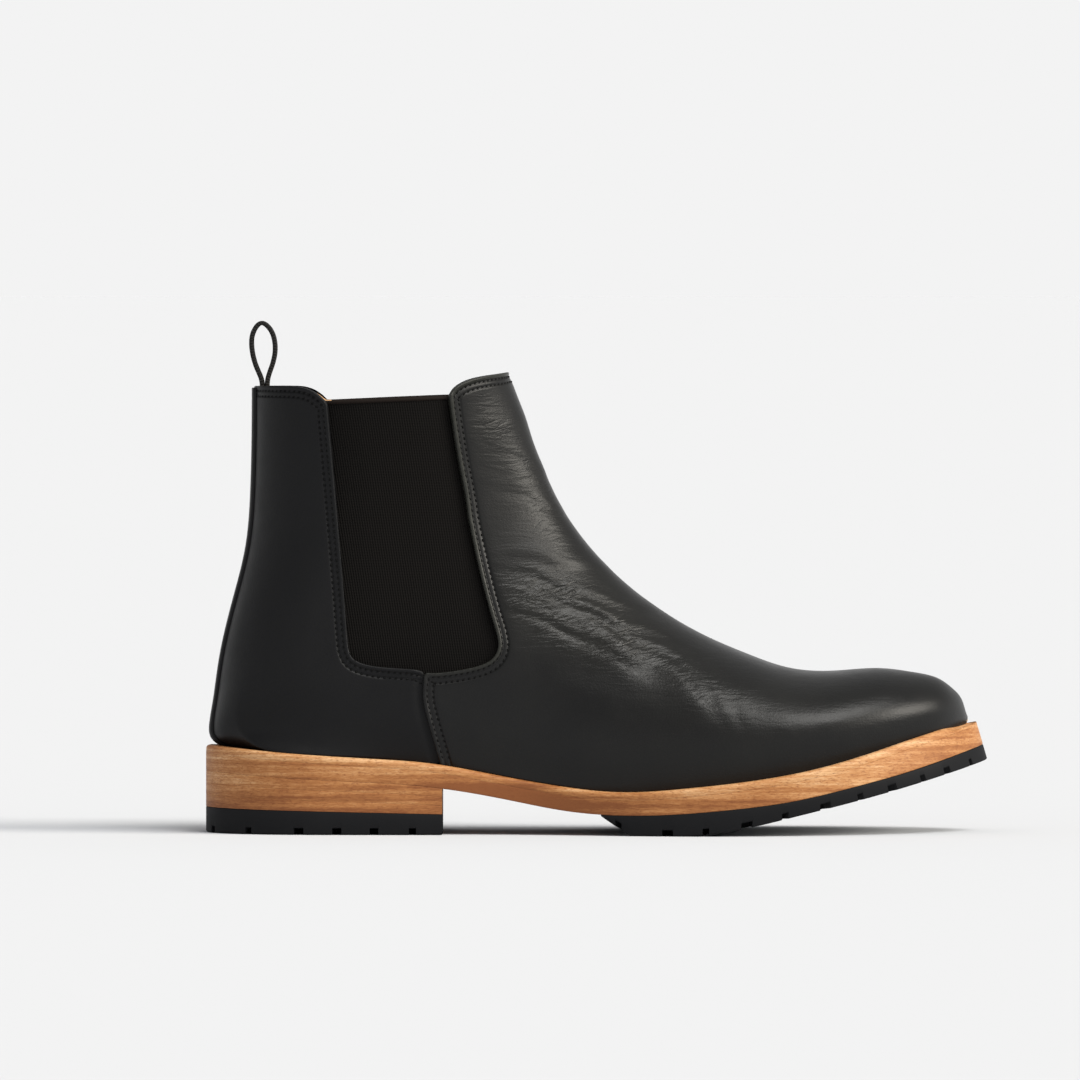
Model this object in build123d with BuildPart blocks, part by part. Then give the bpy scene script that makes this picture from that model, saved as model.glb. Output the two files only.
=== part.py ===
"""Chelsea boot for the right foot: leather upper with elastic side gores, on a welted, lugged sole.

Row frame in millimetres: +X towards the toe, +Y towards the inner (medial) side, +Z up. The origin is
the bottom centre of the whole boot's box, on the ground.

The upper is a set of nested skins around the foot. Each skin is a loft through fan-shaped stations
that turn from upright at the toe to nearly level at the collar. A station is the plane through a
ridge point (toe top, instep, front of shaft) and a keel point (sole, heel, back of shaft). Leather,
stiffeners and lining are the layers between two skins, cut to shape in side view.
"""

import os
from collections import namedtuple
from math import hypot, radians, tan

from build123d import *

# ---- driving dimensions -------------------------------------------------------------------------
LEATHER = 1.8  # outer leather
STIFFENER = 1.0  # toe puff, heel counter and elastic share this layer
LINING = 1.0
LINING_OUT = LEATHER + STIFFENER
LINING_IN = LINING_OUT + LINING
STRIP = 1.2  # back strip, sewn on outside the leather
STRIP_WIDTH = 13.0

INSOLE = 3.0
SOCK = 1.2
WELT = 3.3
SHANK_LENGTH, SHANK_WIDTH, SHANK = 96.0, 16.0, 1.6

HALF_SPAN = 80.0  # more than the boot's half width, for cutting right through it
FAR = 220.0  # beyond the boot in side view

HEEL_BREAST = -60.4  # front face of the heel
HEEL_LIFTS = 3
NAIL_RADIUS = 1.1
NAILS = [(-134.0, 0.0), (-120.0, -18.0), (-120.0, 17.0), (-84.0, -20.0), (-84.0, 18.0)]

FLEX_X, FLEX_Z = 44.0, 27.4  # toe-flex axis, just above the sock liner at the ball
FLEX_RANGE = 30.0
FLEX_SLOPE = tan(radians(FLEX_RANGE / 2 + 1.0))  # lean of each side of the crease zone
GAP = 0.3  # clear distance between pieces that move against each other

LOOP_WIDTH = 17.0
LOOP_PIVOT = (-129.95, 177.0)
LOOP_NECK = 2.35  # half thickness of the two plies at the neck

# ---- the last: stations from the toe tip to above the collar ----------------------------------------
# ridge and keel are (x, z); lateral and medial are the widest y; inset is how far the bottom corner
# stands in from the widest line; rise is how far above the keel the station is widest; square is 1 on
# a flat bottom with a corner and 0 on a round back; ridge_y is the ridge's sideways place.
Station = namedtuple("Station", "ridge keel lateral medial inset rise square ridge_y")
STATIONS = [
    Station((144.7, 46.2), (144.7, 42.3), 3.0, 11.0, 0.5, 1.6, 1.0, 7.0),
    Station((143.2, 50.9), (143.2, 41.6), -2.0, 15.5, 0.8, 3.6, 1.0, 6.6),
    Station((140.0, 55.2), (140.0, 40.6), -9.0, 21.2, 1.0, 5.6, 1.0, 6.0),
    Station((134.0, 59.6), (134.0, 38.8), -17.6, 28.2, 1.2, 7.6, 1.0, 5.2),
    Station((124.0, 62.2), (124.0, 35.7), -26.4, 36.0, 1.4, 9.4, 1.0, 4.6),
    Station((110.0, 63.8), (110.0, 31.4), -35.0, 42.4, 1.6, 11.0, 1.0, 4.2),
    Station((93.0, 62.8), (93.0, 27.0), -41.8, 45.8, 1.8, 12.4, 1.0, 4.4),
    Station((76.0, 63.8), (75.0, 23.4), -46.0, 46.0, 2.0, 13.4, 1.0, 5.0),
    Station((60.0, 69.0), (55.0, 20.2), -47.4, 43.8, 2.0, 14.6, 1.0, 5.6),
    Station((45.0, 75.3), (34.0, 17.9), -46.4, 39.4, 2.2, 16.0, 1.0, 6.0),
    Station((30.4, 83.2), (9.0, 16.4), -43.2, 34.6, 2.6, 18.0, 1.0, 5.8),
    Station((16.8, 92.5), (-15.0, 18.6), -39.6, 31.6, 3.2, 21.0, 1.0, 5.2),
    Station((4.6, 103.3), (-41.0, 23.1), -36.8, 31.4, 3.8, 25.0, 1.0, 4.2),
    Station((-6.0, 115.3), (-72.0, 28.1), -35.6, 32.8, 3.8, 31.0, 1.0, 3.2),
    Station((-13.4, 126.4), (-103.0, 30.2), -34.6, 33.4, 3.2, 38.0, 1.0, 2.2),
    Station((-18.1, 135.6), (-131.0, 32.3), -33.6, 32.8, 9.0, 44.0, 0.85, 1.6),
    Station((-21.4, 143.5), (-148.3, 38.2), -32.8, 32.2, 20.0, 48.0, 0.25, 1.2),
    Station((-24.6, 151.5), (-149.2, 51.0), -32.2, 31.6, 24.0, 50.0, 0.0, 0.8),
    Station((-27.4, 160.5), (-146.4, 70.0), -31.8, 31.2, 24.0, 52.0, 0.0, 0.5),
    Station((-30.2, 168.0), (-141.0, 92.5), -31.8, 31.2, 24.0, 52.0, 0.0, 0.3),
    Station((-32.6, 174.2), (-136.4, 112.0), -32.0, 31.6, 24.0, 50.0, 0.0, 0.1),
    Station((-34.6, 179.2), (-134.5, 135.0), -32.4, 32.2, 24.0, 49.0, 0.0, 0.0),
    Station((-36.5, 184.6), (-134.0, 158.0), -33.0, 33.0, 24.0, 48.5, 0.0, 0.0),
    Station((-38.6, 190.5), (-133.9, 183.0), -33.4, 33.4, 24.0, 48.0, 0.0, 0.0),
]
ROUND = 0.5523  # handle length that makes a cubic Bezier a quarter of an ellipse
WALL_HANDLE, CROWN_HANDLE = 0.50, 0.58  # fullness of the side wall and of the crown
TOE_CENTRE = (109.0, 3.7, 47.4)  # the toe's stations shrink about this point
TOE_REACH, TOE_WIDE, TOE_HIGH = 35.7, 38.7, 16.2

# ---- sole lines in side view (x, z) -----------------------------------------------------------------
WELT_TOP = [
    (-160.0, 34.8), (-120.0, 31.5), (-90.0, 29.5), (-65.0, 27.6), (-42.0, 23.6), (-15.0, 18.9),
    (9.0, 16.7), (34.0, 18.2), (60.0, 21.2), (84.0, 25.3), (110.0, 31.7), (134.0, 38.9), (160.0, 46.6),
]
MIDSOLE_BOTTOM = [
    (-160.0, 24.6), (-110.0, 21.2), (-60.0, 17.8), (-34.0, 13.3), (-10.0, 9.0), (5.0, 7.9),
    (28.0, 8.2), (52.0, 10.2), (76.0, 13.4), (99.0, 18.4), (122.0, 24.2), (146.0, 31.7), (160.0, 36.2),
]
RUBBER_BOTTOM = [
    (-10.0, 0.0), (14.0, -0.2), (38.0, 0.0), (55.0, 2.4), (76.0, 7.2), (107.0, 14.9), (138.0, 23.6),
    (160.0, 30.2),
]
HEEL_RUBBER_TOP = [(-160.0, 10.1), (-60.0, 7.9)]
OUTSOLE_SIDE = [(-1.0, 8.8), (11.5, 0.0), (FAR, 0.0), (FAR, 60.0), (-1.0, 60.0)]
HEEL_NOTCHES = [-150.0, -136.0, -116.4, -101.2, -86.7, -71.7]
HEEL_NOTCH = (3.2, 2.4)  # width and height
FOREFOOT_NOTCHES = [  # x, z of the bottom face there, width
    (8.0, 1.3, 2.6), (27.2, 0.9, 4.4), (42.1, 1.7, 2.6), (58.0, 2.8, 4.4), (73.1, 5.3, 2.6),
    (88.8, 9.2, 4.2), (102.3, 12.7, 2.4), (115.3, 16.2, 4.0), (127.2, 19.9, 2.4), (136.8, 22.8, 3.6),
    (146.3, 25.6, 2.2),
]
FOREFOOT_NOTCH_HEIGHT = 2.6
NOTCH_CORE = (0.94, 0.74)  # share of the sole outline, in x and y, that the notches leave whole

# ---- plan outlines (x, y) ---------------------------------------------------------------------------
SOLE_OUTLINE = [
    (-153.0, 0.0), (-149.5, -13.5), (-140.5, -24.6), (-122.0, -33.6), (-95.0, -36.6), (-60.0, -36.6),
    (-25.0, -37.2), (10.0, -47.4), (42.0, -53.0), (76.0, -51.4), (106.0, -43.0), (130.0, -28.4),
    (146.0, -10.4), (153.0, 8.0), (148.4, 23.6), (134.0, 37.4), (110.0, 48.4), (80.0, 52.9),
    (50.0, 49.6), (20.0, 40.8), (-15.0, 31.6), (-55.0, 33.0), (-95.0, 35.2), (-122.0, 32.6),
    (-140.5, 24.2), (-149.5, 13.5),
]
CORK_OUTLINE = [
    (131.5, 5.5), (124.0, -11.0), (104.0, -23.5), (76.0, -31.0), (45.0, -32.2), (9.0, -27.6),
    (-25.0, -21.5), (-60.0, -18.8), (-103.0, -17.8), (-125.0, -11.0), (-133.5, 0.0), (-125.0, 10.8),
    (-103.0, 16.8), (-60.0, 15.6), (-25.0, 14.8), (9.0, 19.0), (45.0, 26.6), (76.0, 31.0),
    (104.0, 29.6), (124.0, 20.4),
]

# ---- seams and edges of the upper in side view (x, z) -----------------------------------------------
COLLAR_REAR = [(-133.0, 174.3), (-116.2, 174.3), (-110.6, 172.2), (-105.3, 168.3)]
GORE_REAR = [(-105.3, 168.3), (-101.0, 121.8), (-98.9, 98.1), (-97.2, 75.1)]
GORE_BOTTOM = [
    (-97.2, 75.1), (-94.3, 67.9), (-87.5, 65.4), (-69.7, 64.2), (-67.1, 63.3), (-62.0, 62.8),
    (-53.5, 63.9), (-45.0, 65.8), (-39.4, 69.4), (-38.3, 74.3),
]
GORE_FRONT = [
    (-38.3, 74.3), (-41.7, 86.2), (-45.9, 102.3), (-50.1, 121.8), (-51.0, 130.0), (-54.4, 147.0),
    (-57.8, 170.3),
]
COLLAR_FRONT = [(-57.8, 170.3), (-55.4, 173.6), (-51.4, 176.2), (-45.8, 177.9), (-34.8, 179.7)]
SIDE_SEAM = [(-67.1, 63.3), (-68.1, 53.0), (-65.9, 44.0), (-61.6, 29.0), (-59.0, 0.0)]
SHAFT_AXIS = (-3.2, 112.0)  # collar-opening axis, in the instep crease
GORE_ALLOWANCE = 7.0  # elastic sewn under the leather all round

COUNTER_SIDE = [
    (-FAR, 0.0), (-FAR, 90.0), (-140.0, 88.0), (-118.0, 74.0), (-96.0, 54.0), (-84.0, 40.0), (-80.0, 0.0),
]
PUFF_SIDE = [(102.0, 0.0), (98.0, 40.0), (104.0, 58.0), (110.0, 90.0), (FAR, 90.0), (FAR, 0.0)]


# ---- skins ------------------------------------------------------------------------------------------
def unit(x, z):
    length = hypot(x, z)
    return x / length, z / length


def inward(points, index, side):
    """Unit normal of a side-view curve at one of its points, pointing into the boot."""
    before, after = points[max(index - 1, 0)], points[min(index + 1, len(points) - 1)]
    along = unit(after[0] - before[0], after[1] - before[1])
    return -side * along[1], side * along[0]


def shrunk_toe(s, depth):
    """A toe station scaled about the middle of the toe, so that the tip moves in by depth too."""
    x = TOE_CENTRE[0] + (s.ridge[0] - TOE_CENTRE[0]) * (1 - depth / TOE_REACH)
    middle = TOE_CENTRE[2] + (s.keel[0] - TOE_CENTRE[0]) * 0.2
    by_y, by_z = 1 - depth / TOE_WIDE, 1 - depth / TOE_HIGH
    return s._replace(
        ridge=(x, middle + (s.ridge[1] - middle) * by_z),
        keel=(x, middle + (s.keel[1] - middle) * by_z),
        lateral=TOE_CENTRE[1] + (s.lateral - TOE_CENTRE[1]) * by_y,
        medial=TOE_CENTRE[1] + (s.medial - TOE_CENTRE[1]) * by_y,
        rise=s.rise * by_z,
    )


def shrunk(depth):
    """The stations of the skin that lies depth inside the outer one."""
    ridges, keels = [s.ridge for s in STATIONS], [s.keel for s in STATIONS]
    made = []
    for i, s in enumerate(STATIONS):
        if s.ridge[0] > TOE_CENTRE[0]:
            made.append(shrunk_toe(s, depth))
            continue
        ridge_in, keel_in = inward(ridges, i, 1), inward(keels, i, -1)
        made.append(
            s._replace(
                ridge=(s.ridge[0] + depth * ridge_in[0], s.ridge[1] + depth * ridge_in[1]),
                keel=(s.keel[0] + depth * keel_in[0], s.keel[1] + depth * keel_in[1]),
                lateral=s.lateral + depth,
                medial=s.medial - depth,
                rise=s.rise - 0.5 * depth * s.square,
            )
        )
    return made


def mix(a, b, share):
    return tuple(p + (q - p) * share for p, q in zip(a, b))


def side_curves(s, height, wide, middle):
    """Three cubic Beziers from keel to ridge on one side, as points (up the station, y)."""
    out = wide - middle
    corner = (0.0, wide - s.inset if out > 0 else wide + s.inset)
    quarter = [(0.0, middle), (0.0, middle + ROUND * out), (s.rise * (1 - ROUND), wide), (s.rise, wide)]
    ab, bc, cd = (mix(quarter[i], quarter[i + 1], 0.5) for i in range(3))
    abc, bcd = mix(ab, bc, 0.5), mix(bc, cd, 0.5)
    half = mix(abc, bcd, 0.5)
    flat = [mix((0.0, middle), corner, share) for share in (0, 1 / 3, 2 / 3, 1)]
    wall = [corner, mix(corner, (s.rise, wide), 0.35), (0.55 * s.rise, wide), (s.rise, wide)]
    bottom = [mix(a, b, s.square) for a, b in zip([quarter[0], ab, abc, half], flat)]
    lower = [mix(a, b, s.square) for a, b in zip([half, bcd, cd, quarter[3]], wall)]
    upper = [
        (s.rise, wide),
        (s.rise + WALL_HANDLE * (height - s.rise), wide),
        (height, s.ridge_y + CROWN_HANDLE * (wide - s.ridge_y)),
        (height, s.ridge_y),
    ]
    return bottom, lower, upper


def skin(depth):
    """Solid bounded by the skin that lies depth in from the boot's outer surface."""
    sections = []
    for s in shrunk(depth):
        up = unit(s.ridge[0] - s.keel[0], s.ridge[1] - s.keel[1])
        height = hypot(s.ridge[0] - s.keel[0], s.ridge[1] - s.keel[1])
        middle = (s.lateral + s.medial) / 2
        medial = side_curves(s, height, s.medial, middle)
        lateral = side_curves(s, height, s.lateral, middle)
        edges = []
        for curve in [*medial, *[reversed(c) for c in reversed(lateral)]]:
            points = [(s.keel[0] + u * up[0], y, s.keel[1] + u * up[1]) for u, y in curve]
            edges.append(Edge.make_bezier(*points))
        sections.append(Wire(edges))
    return Solid.make_loft(sections)


# ---- cutters ----------------------------------------------------------------------------------------
def side_prism(outline, low=-HALF_SPAN, high=HALF_SPAN):
    """Everything inside a side-view outline, between two y values."""
    with BuildPart() as made:
        with BuildSketch(Plane.XZ.offset(-high)):
            with BuildLine():
                Polyline(*outline, close=True)
            make_face()
        extrude(amount=high - low)
    return made.part


def side_band(top, bottom):
    """Everything between two side-view curves."""
    with BuildPart() as made:
        with BuildSketch(Plane.XZ.offset(-HALF_SPAN)):
            with BuildLine():
                Spline(*top)
                Line(top[-1], bottom[-1])
                Spline(*reversed(bottom))
                Line(bottom[0], top[0])
            make_face()
        extrude(amount=2 * HALF_SPAN)
    return made.part


def raised(line, amount):
    return [(x, z + amount) for x, z in line]


def cut_down(solid, *cutters, minus=()):
    """The part of a solid inside every cutter and outside every minus."""
    with BuildPart() as made:
        add(solid)
        for cutter in cutters:
            add(cutter, mode=Mode.INTERSECT)
        for other in minus:
            add(other, mode=Mode.SUBTRACT)
    return made.part


def save(solid, name):
    solid.label = name
    export_step(solid, f"parts/{name}.step")


os.makedirs("parts", exist_ok=True)

skin_strip = skin(-STRIP)
skin_outer = skin(0.0)
skin_leather_in = skin(LEATHER)
skin_lining_out = skin(LINING_OUT)
skin_lining_in = skin(LINING_IN)

# ---- plan prisms ------------------------------------------------------------------------------------
with BuildPart() as sole_plan:
    with BuildSketch():
        with BuildLine():
            Spline(*SOLE_OUTLINE, periodic=True)
        make_face()
    extrude(amount=60)

with BuildPart() as sole_core:
    with BuildSketch():
        with BuildLine():
            Spline(*[(x * NOTCH_CORE[0], y * NOTCH_CORE[1]) for x, y in SOLE_OUTLINE], periodic=True)
        make_face()
    extrude(amount=60)

with BuildPart() as cork_plan:
    with BuildSketch():
        with BuildLine():
            Spline(*CORK_OUTLINE, periodic=True)
        make_face()
    extrude(amount=60)

# ---- where the moving bodies part -------------------------------------------------------------------
front_of_flex = side_prism([(FLEX_X + GAP / 2, -10), (FAR, -10), (FAR, 80), (FLEX_X + GAP / 2, 80)])
behind_flex = side_prism([(-FAR, -10), (FLEX_X - GAP / 2, -10), (FLEX_X - GAP / 2, 80), (-FAR, 80)])
lean = FLEX_SLOPE * (150 - FLEX_Z)
toe_start = FLEX_X + GAP / 2
toe_region = side_prism(
    [(toe_start, 0), (FAR, 0), (FAR, 150), (toe_start + lean, 150), (toe_start, FLEX_Z)]
)
flex_region = side_prism([(FLEX_X, FLEX_Z), (FLEX_X + lean, 150), (FLEX_X - lean, 150)])

shaft_cut = [GORE_FRONT[0], mix(GORE_FRONT[0], SHAFT_AXIS, 1.35)]
vamp_region = side_prism(
    [
        *reversed(SIDE_SEAM), *GORE_BOTTOM[5:], shaft_cut[1], (FLEX_X - lean, 150),
        (FLEX_X - GAP / 2, FLEX_Z), (FLEX_X - GAP / 2, 0),
    ]
)
shaft_region = side_prism(
    [
        (GORE_FRONT[0][0] - 0.22, GORE_FRONT[0][1] + 0.75), *GORE_FRONT[1:], (-57.8, FAR), (30, FAR),
        (shaft_cut[1][0] - GAP, shaft_cut[1][1] + GAP),
    ]
)
quarter_outline = [(-105.3, FAR), *GORE_REAR, *GORE_BOTTOM[1:5], *SIDE_SEAM[1:], (-FAR, 0), (-FAR, FAR)]
lateral_quarter_region = side_prism(quarter_outline, high=0.0)
medial_quarter_region = side_prism(quarter_outline, low=0.0)

with BuildPart() as below_collar:
    with BuildSketch(Plane.XZ.offset(-HALF_SPAN)):
        with BuildLine():
            Line((-FAR, 174.3), COLLAR_REAR[1])
            Spline(*COLLAR_REAR[1:], tangents=[(1, 0), (1, -0.9)])
            Line(COLLAR_REAR[-1], COLLAR_FRONT[0])
            Spline(*COLLAR_FRONT, tangents=[(0.45, 1), (1, 0.17)])
            Polyline(COLLAR_FRONT[-1], (FAR, 222), (FAR, -20), (-FAR, -20), (-FAR, 174.3))
        make_face()
    extrude(amount=2 * HALF_SPAN)

with BuildPart() as gore_field:
    with BuildSketch(Plane.XZ.offset(-HALF_SPAN)):
        with BuildLine():
            Polyline(*GORE_REAR, *GORE_BOTTOM[1:], *GORE_FRONT[1:], close=True)
        make_face()
        offset(amount=GORE_ALLOWANCE)
        with BuildLine():
            Polyline(
                (-FAR, 168.3), GORE_REAR[0], GORE_FRONT[-1], (FAR, 170.3), (FAR, FAR), (-FAR, FAR),
                close=True,
            )
        make_face(mode=Mode.SUBTRACT)
    extrude(amount=2 * HALF_SPAN)
everywhere = [(-FAR, 0), (FAR, 0), (FAR, FAR), (-FAR, FAR)]
lateral_gore_field = cut_down(gore_field.part, side_prism(everywhere, high=0.0))
medial_gore_field = cut_down(gore_field.part, side_prism(everywhere, low=0.0))

# ---- shells of the upper, open at the collar and under the foot -------------------------------------
cork_top = raised(WELT_TOP, LINING_IN + 1.0)
under_foot = cut_down(cork_plan.part, side_band(cork_top, raised(WELT_TOP, -12)))
leather_shell = cut_down(skin_outer, below_collar.part, minus=[skin_leather_in, under_foot])
stiffener_shell = cut_down(skin_leather_in, below_collar.part, minus=[skin_lining_out, under_foot])
lining_shell = cut_down(skin_leather_in, below_collar.part, minus=[skin_lining_in, under_foot])

# ---- outer leather ----------------------------------------------------------------------------------
save(cut_down(leather_shell, toe_region), "vamp_toe")
save(cut_down(leather_shell, flex_region), "vamp_flex_zone")
save(cut_down(leather_shell, vamp_region), "vamp_instep")
save(cut_down(leather_shell, shaft_region), "front_shaft")
save(cut_down(leather_shell, lateral_quarter_region), "quarter_lateral")
save(cut_down(leather_shell, medial_quarter_region), "quarter_medial")

strip_side = side_prism(
    [(-FAR, 33.5), (-120, 33.5), (-120, FAR), (-FAR, FAR)], low=-STRIP_WIDTH / 2, high=STRIP_WIDTH / 2
)
sole_body = cut_down(sole_plan.part, side_band(WELT_TOP, MIDSOLE_BOTTOM))
save(
    cut_down(skin_strip, below_collar.part, strip_side, minus=[skin_outer, sole_body]),
    "back_strip",
)

# ---- elastic, stiffeners and lining -----------------------------------------------------------------
gore_lateral = cut_down(stiffener_shell, lateral_gore_field)
gore_medial = cut_down(stiffener_shell, medial_gore_field)
toe_puff = cut_down(stiffener_shell, side_prism(PUFF_SIDE))
heel_counter = cut_down(stiffener_shell, side_prism(COUNTER_SIDE))
save(gore_lateral, "gore_lateral")
save(gore_medial, "gore_medial")
save(toe_puff, "toe_puff")
save(heel_counter, "heel_counter")

with BuildPart() as pull_loop_anchor:
    with BuildSketch(Plane.XZ.offset(-LOOP_WIDTH / 2)):
        with BuildLine():
            Polyline(
                (-132.1, 174.3), (-127.7, 174.3), (-129.0, 168.0), (-130.0, 158.0), (-132.1, 158.0),
                close=True,
            )
        make_face()
    extrude(amount=LOOP_WIDTH)
    add(skin_leather_in, mode=Mode.INTERSECT)
anchor = pull_loop_anchor.part
save(anchor, "pull_loop_anchor")

gores = [gore_lateral, gore_medial]
save(cut_down(lining_shell, toe_region, minus=[toe_puff]), "lining_toe")
save(cut_down(lining_shell, flex_region), "lining_flex_zone")
save(cut_down(lining_shell, vamp_region, minus=gores), "lining_instep")
save(cut_down(lining_shell, shaft_region, minus=gores), "lining_front_shaft")
rear_inner = [gore_lateral, heel_counter, anchor]
save(cut_down(lining_shell, lateral_quarter_region, minus=rear_inner), "quarter_lining_lateral")
rear_inner = [gore_medial, heel_counter, anchor]
save(cut_down(lining_shell, medial_quarter_region, minus=rear_inner), "quarter_lining_medial")

# ---- pull loop --------------------------------------------------------------------------------------
with BuildPart() as pull_loop:
    with BuildSketch(Plane.XZ.offset(-LOOP_WIDTH / 2)):
        with BuildLine():
            Spline(
                (LOOP_PIVOT[0] - LOOP_NECK, LOOP_PIVOT[1]), (-135.9, 190.0), (-131.3, 200.0),
                (-124.8, 188.8), (LOOP_PIVOT[0] + LOOP_NECK, LOOP_PIVOT[1]),
                tangents=[(0, 1), (0, -1)],
            )
            RadiusArc(
                (LOOP_PIVOT[0] + LOOP_NECK, LOOP_PIVOT[1]), (LOOP_PIVOT[0] - LOOP_NECK, LOOP_PIVOT[1]),
                LOOP_NECK,
            )
        make_face()
        with BuildLine():
            Spline(
                (-129.95, 179.2), (-133.7, 190.2), (-131.2, 197.8), (-127.1, 189.0), (-129.95, 179.2),
                tangents=[(-0.15, 1), (-0.15, -1)],
            )
        make_face(mode=Mode.SUBTRACT)
    extrude(amount=LOOP_WIDTH)
save(pull_loop.part, "pull_loop")

# ---- inside the boot, under the foot ----------------------------------------------------------------
board_top = raised(WELT_TOP, LINING_IN + INSOLE)
board_space = cut_down(skin_lining_in, side_band(board_top, raised(WELT_TOP, -5)))
sock_space = cut_down(skin_lining_in, side_band(raised(board_top, SOCK), board_top))
save(cut_down(board_space, front_of_flex), "insole_board_front")
save(cut_down(board_space, behind_flex), "insole_board_rear")
save(cut_down(sock_space, front_of_flex), "sock_liner_front")
save(cut_down(sock_space, behind_flex), "sock_liner_rear")

with BuildPart() as shank:
    with BuildSketch(Plane.XY):
        with Locations((-46.0, -1.5)):
            SlotOverall(SHANK_LENGTH, SHANK_WIDTH)
    extrude(amount=60)
shank_solid = cut_down(shank.part, side_band(raised(WELT_TOP, 1.2 + SHANK), raised(WELT_TOP, 1.2)))
save(shank_solid, "shank")

cork_space = cut_down(cork_plan.part, side_band(cork_top, raised(WELT_TOP, -WELT)))
cork_body = cut_down(cork_space, minus=[skin_lining_in, shank_solid])
save(cut_down(cork_body, front_of_flex), "cork_filler_front")
save(cut_down(cork_body, behind_flex), "cork_filler_rear")

# ---- welt, midsole and rubber -----------------------------------------------------------------------
with BuildPart() as nails:
    with BuildSketch(Plane.XY.offset(5.0)):
        with Locations(*NAILS):
            Circle(NAIL_RADIUS)
    extrude(amount=18.0)
nail_group = nails.part
save(nail_group, "heel_nails")

welt_body = cut_down(
    sole_plan.part, side_band(WELT_TOP, raised(WELT_TOP, -WELT)), minus=[skin_outer, cork_plan.part]
)
save(cut_down(welt_body, front_of_flex), "welt_front")
save(cut_down(welt_body, behind_flex), "welt_rear")

midsole_body = cut_down(
    sole_plan.part, side_band(raised(WELT_TOP, -WELT), MIDSOLE_BOTTOM), minus=[nail_group]
)
save(cut_down(midsole_body, front_of_flex), "midsole_front")
save(cut_down(midsole_body, behind_flex), "midsole_rear")

behind_breast = side_prism([(-FAR, -10), (HEEL_BREAST, -10), (HEEL_BREAST, 60), (-FAR, 60)])
heel_plan = cut_down(sole_plan.part, behind_breast)
heel_levels = [mix((24.6, 17.8), (10.1, 7.9), step / HEEL_LIFTS) for step in range(HEEL_LIFTS + 1)]
for step in range(HEEL_LIFTS):
    above, below = heel_levels[step], heel_levels[step + 1]
    lift = side_prism([(-160, above[0]), (-60, above[1]), (-60, below[1]), (-160, below[0])])
    if step == 0:
        lift = side_band(MIDSOLE_BOTTOM, raised(MIDSOLE_BOTTOM, -9))
        lift = cut_down(lift, side_prism([(-160, 60), (-60, 60), (-60, below[1]), (-160, below[0])]))
    save(cut_down(heel_plan, lift, minus=[nail_group]), f"heel_lift_{step + 1}")

with BuildPart() as notches:
    with BuildSketch(Plane.XZ.offset(-HALF_SPAN)):
        for x in HEEL_NOTCHES:
            with Locations((x, HEEL_NOTCH[1] / 2 - 0.5)):
                Rectangle(HEEL_NOTCH[0], HEEL_NOTCH[1] + 1)
        for x, z, width in FOREFOOT_NOTCHES:
            with Locations(Location((x, z), (0, 0, 15 if x > 60 else 3))):
                Rectangle(width, 2 * FOREFOOT_NOTCH_HEIGHT)
    extrude(amount=2 * HALF_SPAN)
    add(sole_core.part, mode=Mode.SUBTRACT)

heel_rubber = side_prism([(-160, 0), (-60, 0), *reversed(HEEL_RUBBER_TOP)])
save(cut_down(heel_plan, heel_rubber, minus=[nail_group, notches.part]), "heel_top_piece")

outsole_body = cut_down(
    sole_plan.part,
    side_band(MIDSOLE_BOTTOM, [(-160.0, 0.0), *RUBBER_BOTTOM]),
    side_prism(OUTSOLE_SIDE),
    minus=[notches.part],
)
save(cut_down(outsole_body, front_of_flex), "outsole_front")
save(cut_down(outsole_body, behind_flex), "outsole_rear")
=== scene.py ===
"""Looks of the chelsea boot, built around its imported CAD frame.

Lengths in the helpers are millimetres in the row frame (+X toe, +Y inner side, +Z up); meshes are
made in metres. The upper is one smooth surface through fan-shaped stations, cut into panels along
the seams, each with a rolled edge, stitching and creases. The sole is a stack of layers swept
round its outline.
"""

import math

import bmesh
import bpy
import numpy as np
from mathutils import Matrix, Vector
from mathutils.bvhtree import BVHTree


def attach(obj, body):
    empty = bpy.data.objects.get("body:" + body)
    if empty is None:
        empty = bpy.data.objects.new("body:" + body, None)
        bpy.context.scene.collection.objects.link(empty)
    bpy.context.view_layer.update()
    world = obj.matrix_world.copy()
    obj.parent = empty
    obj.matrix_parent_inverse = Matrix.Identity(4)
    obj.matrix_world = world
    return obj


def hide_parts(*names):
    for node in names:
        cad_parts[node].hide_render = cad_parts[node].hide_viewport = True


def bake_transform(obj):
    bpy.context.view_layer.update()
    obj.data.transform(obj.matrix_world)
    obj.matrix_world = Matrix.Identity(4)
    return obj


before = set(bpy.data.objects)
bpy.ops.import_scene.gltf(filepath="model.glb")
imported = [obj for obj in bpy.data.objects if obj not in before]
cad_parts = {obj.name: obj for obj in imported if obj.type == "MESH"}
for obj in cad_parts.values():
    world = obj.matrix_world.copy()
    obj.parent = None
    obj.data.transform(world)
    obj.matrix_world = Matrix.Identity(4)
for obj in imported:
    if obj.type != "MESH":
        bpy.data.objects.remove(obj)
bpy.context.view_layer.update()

MM = 0.001

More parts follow.
